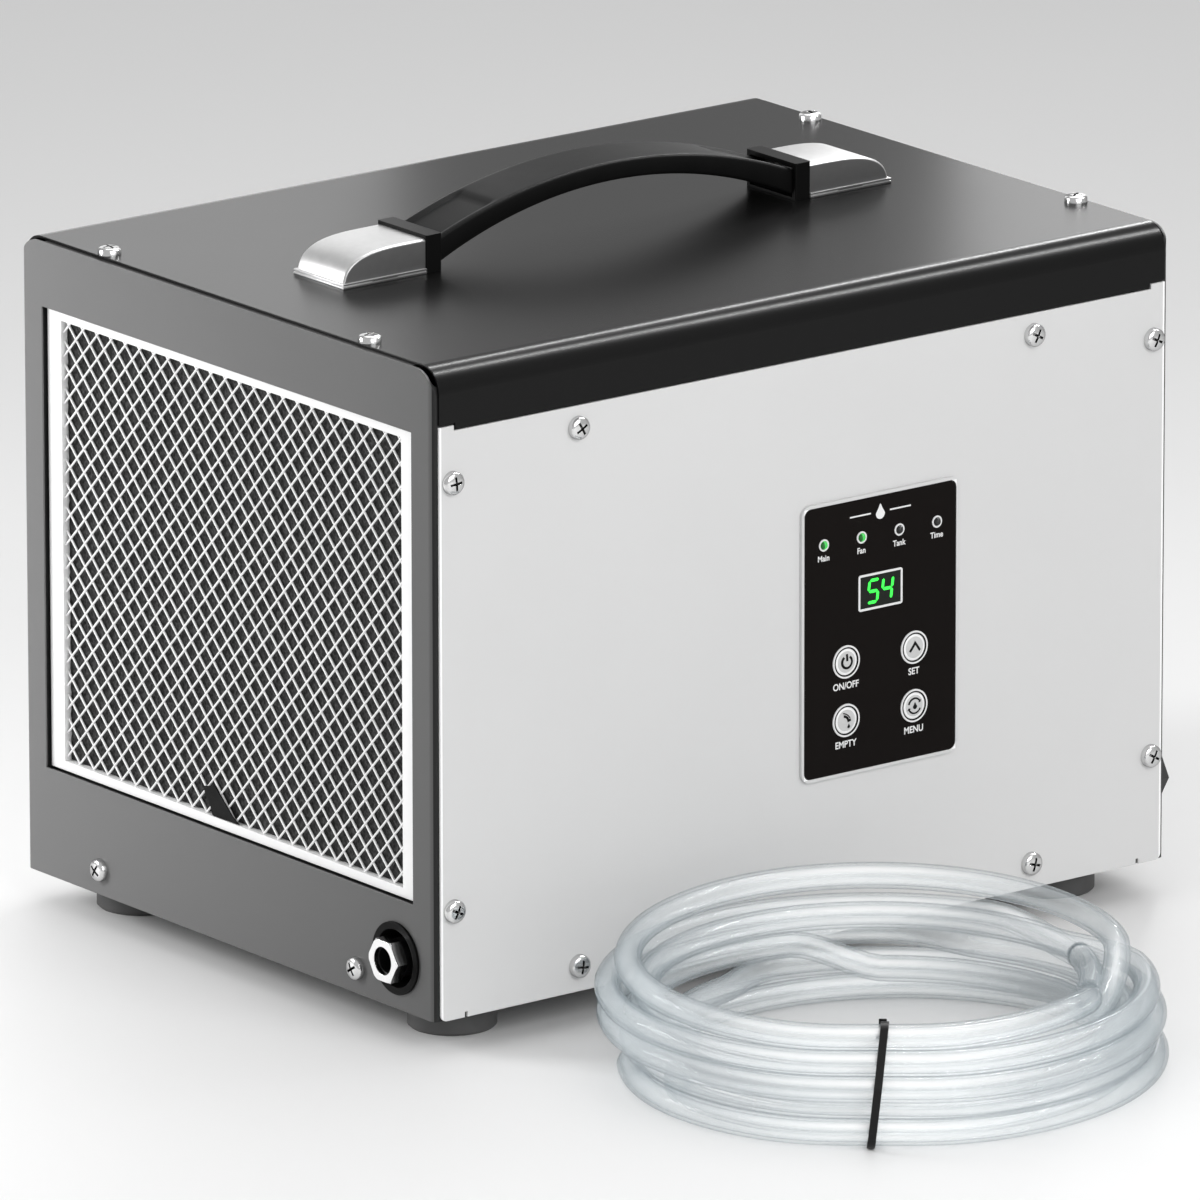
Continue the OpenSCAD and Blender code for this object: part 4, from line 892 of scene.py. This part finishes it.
def addStrap():
    low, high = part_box("handle_strap")
    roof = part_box("top_cover")[1][2]
    half, corner = strap["width"] / 2, strap["corner"]
    rings = []
    for i in range(strap["stations"] + 1):
        x = low[0] + (high[0] - low[0]) * i / strap["stations"]
        away = abs(x) - strap["ribStart"]
        top = arch(x, strap["rise"], strap["topRadius"])
        under = max(arch(x, strap["under"], strap["underRadius"]), strap["aboveCover"])
        under = min(under, top - strap["thinnest"])

        def turned(side, z, up, first):
            # a rounded corner in five steps
            for k in range(5):
                a = radians(first + 22.5 * k)
                ring.append((x, side * (half - corner) + corner * cos(a), z + up * corner + corner * sin(a)))

        ring = []
        turned(1, under, 1, -90)
        turned(1, top, -1, 0)
        for k in range(1, 24):
            # along the top, with the groove between the two edge ribs
            y = (half - corner) * (1 - k / 12)
            inside = ease((half - strap["ribWidth"] - abs(y)) / strap["ribSlope"])
            ring.append((x, y, top - strap["recess"] * inside * ease(away / strap["ribFade"])))
        turned(-1, top, -1, 90)
        turned(-1, under, 1, 180)
        rings.append([Vector((p[0], p[1], roof + p[2])) for p in ring])
    mesh = sharpen(loft("handleStrap", rings), 50)
    rubber = rubbery("strapRubber", grey(0.0035), 0.36, grey(0.008), 0.09)
    return addPiece("handleStrap", mesh, rubber, "cabinet", ["handle_strap"])


# the flange is plates one above another, each with its start and thickness and how much it stays in
cap = dict(length=47 * mm, height=15.7 * mm, width=35 * mm, flange=37.4 * mm, steps=28, rim=1.3 * mm,
           plates=((0.0, 1.0, 0.0), (1.0, 0.5, 1.0), (1.5, 0.9, 0.0)))


def addCap(side, node, name, material):
    low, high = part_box(node)
    inner = (low if side > 0 else high)[0]
    roof = low[2]
    outline = [(0, 0)]
    for i in range(cap["steps"] + 1):
        u = sin(pi / 2 * i / cap["steps"])
        outline.append((u * (cap["length"] - 1 * mm), cap["height"] * max(1 - u ** 4, 0) ** (1 / 2.4)))
    bm = bmesh.new()
    for y in (-cap["width"] / 2, cap["width"] / 2):
        ring = [bm.verts.new((inner + side * x, y, roof + z)) for x, z in outline]
        bm.faces.new(ring)
    bm.verts.ensure_lookup_table()
    count = len(outline)
    for i in range(count):
        j = (i + 1) % count
        bm.faces.new([bm.verts[i], bm.verts[j], bm.verts[count + j], bm.verts[count + i]])
    bmesh.ops.recalc_face_normals(bm, faces=bm.faces)
    rims = [e for e in bm.edges if abs(e.verts[0].co.y - e.verts[1].co.y) < 1e-9
            and min(v.co.z for v in e.verts) > roof + 0.05 * mm]
    bmesh.ops.bevel(bm, geom=rims, offset=cap["rim"], segments=4, profile=0.5, affect="EDGES")
    for high0, thick, less in cap["plates"]:
        size = Vector((cap["length"] - less * mm / 2, cap["flange"] - less * mm, thick * mm))
        place = Vector((inner + side * size.x / 2, 0, roof + (high0 + thick / 2) * mm))
        addBlock(bm, Matrix.Translation(place), size, 0.25 * mm, 0.5)
    mesh = bpy.data.meshes.new(name)
    bm.to_mesh(mesh)
    bm.free()
    return addPiece(name, sharpen(mesh, 40), material, "cabinet", [node])


addStrap()
satinPlate = capCoat("satinPlate")
addCap(-1, "handle_cap_left", "handleCapLeft", satinPlate)
addCap(1, "handle_cap_right", "handleCapRight", satinPlate)
print("handle made")


nut = dict(flats=18.8 * mm, hole=6.35 * mm, mouth=6.5 * mm, chamfer=0.4 * mm, corners=1.11, face=0.35 * mm,
           edge=0.2 * mm, throat=2.5 * mm, wider=2.4 * mm, around=72)


def addNut(material):
    low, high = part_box("fitting_nut")
    centre = middle("fitting_nut")
    deep = high[0] - low[0]

    def hexRadius(a):
        return nut["flats"] / 2 / cos((a + pi / 6) % (pi / 3) - pi / 6)

    def ring(x, reach):
        angles = [2 * pi * k / nut["around"] for k in range(nut["around"])]
        return [Vector((low[0] + x, centre.y + reach(a) * sin(a), centre.z + reach(a) * cos(a))) for a in angles]

    # the outside is a hexagon with turned corners, and the bore widens behind its throat
    limit = nut["flats"] / 2 * nut["corners"]
    outside = [(0.0, limit - nut["face"]), (nut["edge"], limit), (nut["chamfer"], nut["flats"]),
               (deep - nut["chamfer"], nut["flats"]), (deep, limit)]
    back = nut["hole"] + nut["wider"]
    inside = [(deep, back), (nut["throat"], back), (nut["throat"], nut["hole"]), (nut["edge"], nut["hole"]),
              (0.0, nut["mouth"])]
    rings = [ring(x, lambda a: min(hexRadius(a), most)) for x, most in outside]
    rings += [ring(x, lambda a: radius) for x, radius in inside]
    mesh = sharpen(loft("drainNut", rings, closed=True), 25)
    return addPiece("drainNut", mesh, material, "cabinet", ["fitting_nut"])


addNut(plated("nutChrome", grey(0.9), 0.12, soft=0.2 * mm, rim=0.7))


class Ink:  # flat marks drawn in millimetres about a centre and pressed onto a surface that looks along -Y
    def __init__(self, centre, face):
        self.centre, self.face = centre, face
        self.points, self.faces = [], []

    def patch(self, corners):
        first = len(self.points)
        self.points += corners
        self.faces.append(tuple(range(first, first + len(corners))))

    def stroke(self, line, width, closed=False):
        line = [Vector(p) for p in line]
        sides = []
        for i, p in enumerate(line):
            before = line[i - 1] if i or closed else p
            after = line[(i + 1) % len(line)] if i < len(line) - 1 or closed else p
            way = (after - before).normalized()
            across = Vector((-way.y, way.x))
            inward = (p - before).normalized() if i or closed else way
            stretch = 1 / max(abs(Vector((-inward.y, inward.x)).dot(across)), 0.5)
            sides.append((p + across * width / 2 * stretch, p - across * width / 2 * stretch))
        pairs = list(zip(sides, sides[1:] + (sides[:1] if closed else [])))
        for (a, b), (c, d) in pairs:
            self.patch([a, b, d, c])

    def arc(self, radius, start, end, width, steps=28, middle=(0, 0)):
        angles = [radians(start + (end - start) * i / steps) for i in range(steps + 1)]
        self.stroke([(middle[0] + radius * cos(a), middle[1] + radius * sin(a)) for a in angles], width)

    def drop(self, x, z, size):
        # a round drop, narrowed and pulled to a point above its middle
        outline, radius = [], size * 0.62
        for i in range(24):
            a = 2 * pi * i / 24
            up = max(sin(a), 0)
            wide, tall = 1 - 0.35 * up, 1 + 0.75 * up ** 6
            outline.append(Vector((x + radius * cos(a) * wide, z + radius * sin(a) * tall)))
        self.patch(outline)

    def press(self, name, material, body, thick=0.06, crown=0.0):
        # the crown's radius bends the marks round a domed cap
        bm = bmesh.new()
        verts = [bm.verts.new((self.centre[0] + p[0] * mm, 0, self.centre[1] + p[1] * mm)) for p in self.points]
        for face in self.faces:
            bm.faces.new([verts[i] for i in face])
        bmesh.ops.remove_doubles(bm, verts=bm.verts, dist=0.01 * mm)
        if crown:
            long = [e for e in bm.edges if e.calc_length() > 1.2 * mm]
            bmesh.ops.subdivide_edges(bm, edges=long, cuts=5, use_grid_fill=True)
        made = bmesh.ops.extrude_face_region(bm, geom=bm.faces[:])
        top = [g for g in made["geom"] if isinstance(g, bmesh.types.BMVert)]
        bmesh.ops.translate(bm, verts=top, vec=(0, -thick * mm, 0))
        for v in bm.verts:
            dx, dz = v.co.x - self.centre[0], v.co.z - self.centre[1]
            v.co.y += self.face + (dx * dx + dz * dz) / (2 * crown) if crown else self.face
        bmesh.ops.recalc_face_normals(bm, faces=bm.faces)
        mesh = bpy.data.meshes.new(name)
        bm.to_mesh(mesh)
        bm.free()
        return addPiece(name, mesh, material, body, smooth=False)


whiteInk = inkPrint("whiteInk", grey(0.82))
blackInk = inkPrint("blackInk", grey(0.005))
symbols = dict(crown=21.8 * mm, line=1.15, groove=(6.55, 0.62))


def powerSymbol(ink):
    ink.arc(2.8, 125, 415, symbols["line"])
    ink.stroke([(0, 0.5), (0, 3.7)], symbols["line"])


def upSymbol(ink):
    ink.stroke([(-2.9, -1.7), (0, 2.2), (2.9, -1.7)], symbols["line"])


def tapSymbol(ink):
    ink.arc(2.6, 88, 10, symbols["line"], middle=(-1.9, -0.4))
    ink.arc(5.0, 82, 28, 0.5, middle=(-2.7, -1.4))
    ink.stroke([(0.2, -0.2), (2.2, 0.2)], symbols["line"])
    ink.drop(1.1, -2.9, 1.3)


def cycleSymbol(ink):
    ink.drop(0, -0.3, 1.9)
    ink.arc(3.5, 35, 165, 0.8)
    ink.arc(3.5, 205, 335, 0.8)
    for tail in (35, 205):
        # an arrow head: its tip 14 degrees on from the end of the arc
        ink.patch([Vector((r * cos(radians(a)), r * sin(radians(a))))
                   for r, a in ((3.5, tail - 14), (4.6, tail), (2.4, tail))])


for key, draw in (("power", powerSymbol), ("set", upSymbol), ("drain", tapSymbol), ("mode", cycleSymbol)):
    centre = middle("button_" + key)
    ink = Ink((centre.x, centre.z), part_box("button_" + key)[0][1])
    draw(ink)
    ink.press("symbol_" + key, blackInk, "button_" + key + "_body", 0.14, symbols["crown"])
    # painted shade: a black ink ring on the silver ring stands for the dark groove round each button
    groove = Ink((centre.x, centre.z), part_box("silver_rings")[0][1])
    groove.arc(symbols["groove"][0], 0, 360, symbols["groove"][1], 48)
    groove.press("groove_" + key, blackInk, "cabinet", 0.04)


def addLabel(name, words, x, z, size, material, weight=0.028, narrow=0.92):
    curve = bpy.data.curves.new(name, "FONT")
    curve.body, curve.size, curve.extrude = words, size * labels["stretch"], labels["thick"]
    curve.align_x, curve.align_y = "CENTER", "CENTER"
    curve.offset = size * weight
    text = link(bpy.data.objects.new(name, curve))
    mesh = bpy.data.meshes.new_from_object(text.evaluated_get(bpy.context.evaluated_depsgraph_get()))
    bpy.data.objects.remove(text)
    mesh.transform(Matrix.Translation((x, overlayFace - labels["thick"], z)) @ Matrix.Rotation(radians(90), 4, "X")
                   @ Matrix.Diagonal((narrow, 1, 1, 1)))
    return addPiece(name, mesh, material, "cabinet", smooth=False)


labels = dict(stretch=1.38, thick=0.03 * mm, lamps=("Main", "Fan", "Tank", "Time"), lampDrop=6.3 * mm,
              lampSize=2.8 * mm,
              buttons=(("power", "ON/OFF"), ("set", "SET"), ("drain", "EMPTY"), ("mode", "MENU")),
              buttonDrop=11.3 * mm, buttonSize=3.2 * mm)
lampRow = middle("led_lenses")
for i, words in enumerate(labels["lamps"]):
    x = panel["centre"].x + (i - 1.5) * panel["lampGap"]
    addLabel("lampLabel%d" % (i + 1), words, x, lampRow.z - labels["lampDrop"], labels["lampSize"], whiteInk)
for key, words in labels["buttons"]:
    spot = middle("button_" + key)
    addLabel("buttonLabel_" + key, words, spot.x, spot.z - labels["buttonDrop"], labels["buttonSize"], whiteInk)

# a plain droplet between two dashes heads the panel
head = Ink((panel["centre"].x, panel["centre"].z + 55.4 * mm), overlayFace)
head.drop(0, -0.8, 4.2)
for side in (-1, 1):
    head.stroke([(side * 5.5, 0), (side * 17.5, 0)], 0.7)
head.press("panelDroplet", whiteInk, "cabinet")

digits = dict(height=11.8, width=6.3, stroke=1.4, slant=0.13, centres=(-4.0, 4.0),
              segments={"5": "afgcd", "4": "fgbc"})


def addDigits():
    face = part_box("display_window")[0][1]
    spot = middle("display_window")
    ink = Ink((spot.x, spot.z), face)
    h, w, t = digits["height"] / 2, digits["width"] / 2, digits["stroke"]
    inset = t / 2
    ends = {"a": ((-w, h), (w, h)), "g": ((-w, 0), (w, 0)), "d": ((-w, -h), (w, -h)), "f": ((-w, 0), (-w, h)),
            "b": ((w, 0), (w, h)), "c": ((w, -h), (w, 0))}
    for centre, number in zip(digits["centres"], "54"):
        for letter in digits["segments"][number]:
            (ax, az), (bx, bz) = ends[letter]
            a, b = Vector((ax, az)) * 0.87, Vector((bx, bz)) * 0.87
            way = (b - a).normalized()
            side = Vector((-way.y, way.x)) * t / 2
            a, b = a + way * inset * 0.35, b - way * inset * 0.35
            shape = [a, a + way * inset + side, b - way * inset + side, b, b - way * inset - side,
                     a + way * inset - side]
            ink.patch([Vector((p.x + digits["slant"] * p.y + centre, p.y)) for p in shape])
    ink.press("displayDigits", glowing("digitGreen", (0.03, 1.0, 0.06, 1), 1.0), "cabinet")


addDigits()
print("panel printed")


# each light has its size, power, place and aim, and whether only its mirror image shows; the two strips draw
# bright lines along the cover's front bend, and the boards show in the cover on each side of the handle
studio = dict(floor=6.0, floorTone=0.8, world=0.6, away=0.75, boardHeight=0.6, boardLevel=0.55,
              lights=(
                  ("frontKey", (2.4, 1.8), 49, (-0.2, -2.7, 1.5), (0, 0, 0.12), False),
                  ("rearLeft", (0.5, 0.5), 11, (-1.0, 0.72, 0.55), (-0.2, 0.12, 0.2), False),
                  ("overhead", (1.4, 1.0), 8, (0.5, 0.6, 2.0), (0, 0, 0.2), False),
                  ("stripUpper", (0.12, 1.4), 16, (1.18, 0.86, 1.7), (0, 0, 0.3), True),
                  ("stripLower", (0.12, 1.4), 42, (1.18, -0.42, 1.85), (0, 0, 0.3), True)),
              boards=(("boardLeft", -0.31, 0.42, 0.95), ("boardRight", 0.33, 0.3, 1.02)))


def addLight(name, size, power, spot, aim, mirrored=False):
    data = bpy.data.lights.new(name, "AREA")
    data.shape, data.size, data.size_y, data.energy = "RECTANGLE", size[0], size[1], power
    light = bpy.data.objects.new(name, data)
    way = Vector(spot) - Vector(aim)
    light.matrix_world = Matrix.Translation(spot) @ way.to_track_quat("Z", "Y").to_matrix().to_4x4()
    light.visible_diffuse = not mirrored
    link(light)


def addStudio():
    paint = Paint("studioFloor")
    tone = studio["floorTone"]
    paint.finish(paint.mix(paint.noise(1.5, 2), grey(tone), grey(tone + 0.03)), 0.55)
    half = studio["floor"] / 2
    mesh = meshFrom("floor", [(-half, -half, 0), (half, -half, 0), (half, half, 0), (-half, half, 0)], [(0, 1, 2, 3)])
    mesh.materials.append(paint.material)
    ground = link(bpy.data.objects.new("floor", mesh))
    world = bpy.data.worlds.new("studio")
    world.use_nodes = True
    world.node_tree.nodes["Background"].inputs["Color"].default_value = grey(0.9)
    world.node_tree.nodes["Background"].inputs["Strength"].default_value = studio["world"]
    bpy.context.scene.world = world
    for light in studio["lights"]:
        addLight(*light)
    a = radians(lens["azimuth"])
    ahead, right = Vector((-sin(a), cos(a), 0)), Vector((cos(a), sin(a), 0))
    for name, across, width, power in studio["boards"]:
        spot = ahead * studio["away"] + right * across + Vector((0, 0, studio["boardLevel"]))
        addLight(name, (width, studio["boardHeight"]), power, spot, right * across + Vector((0, 0, 0.3)), True)


addStudio()
bpy.context.scene.view_settings.view_transform = "Standard"
print("studio lit")
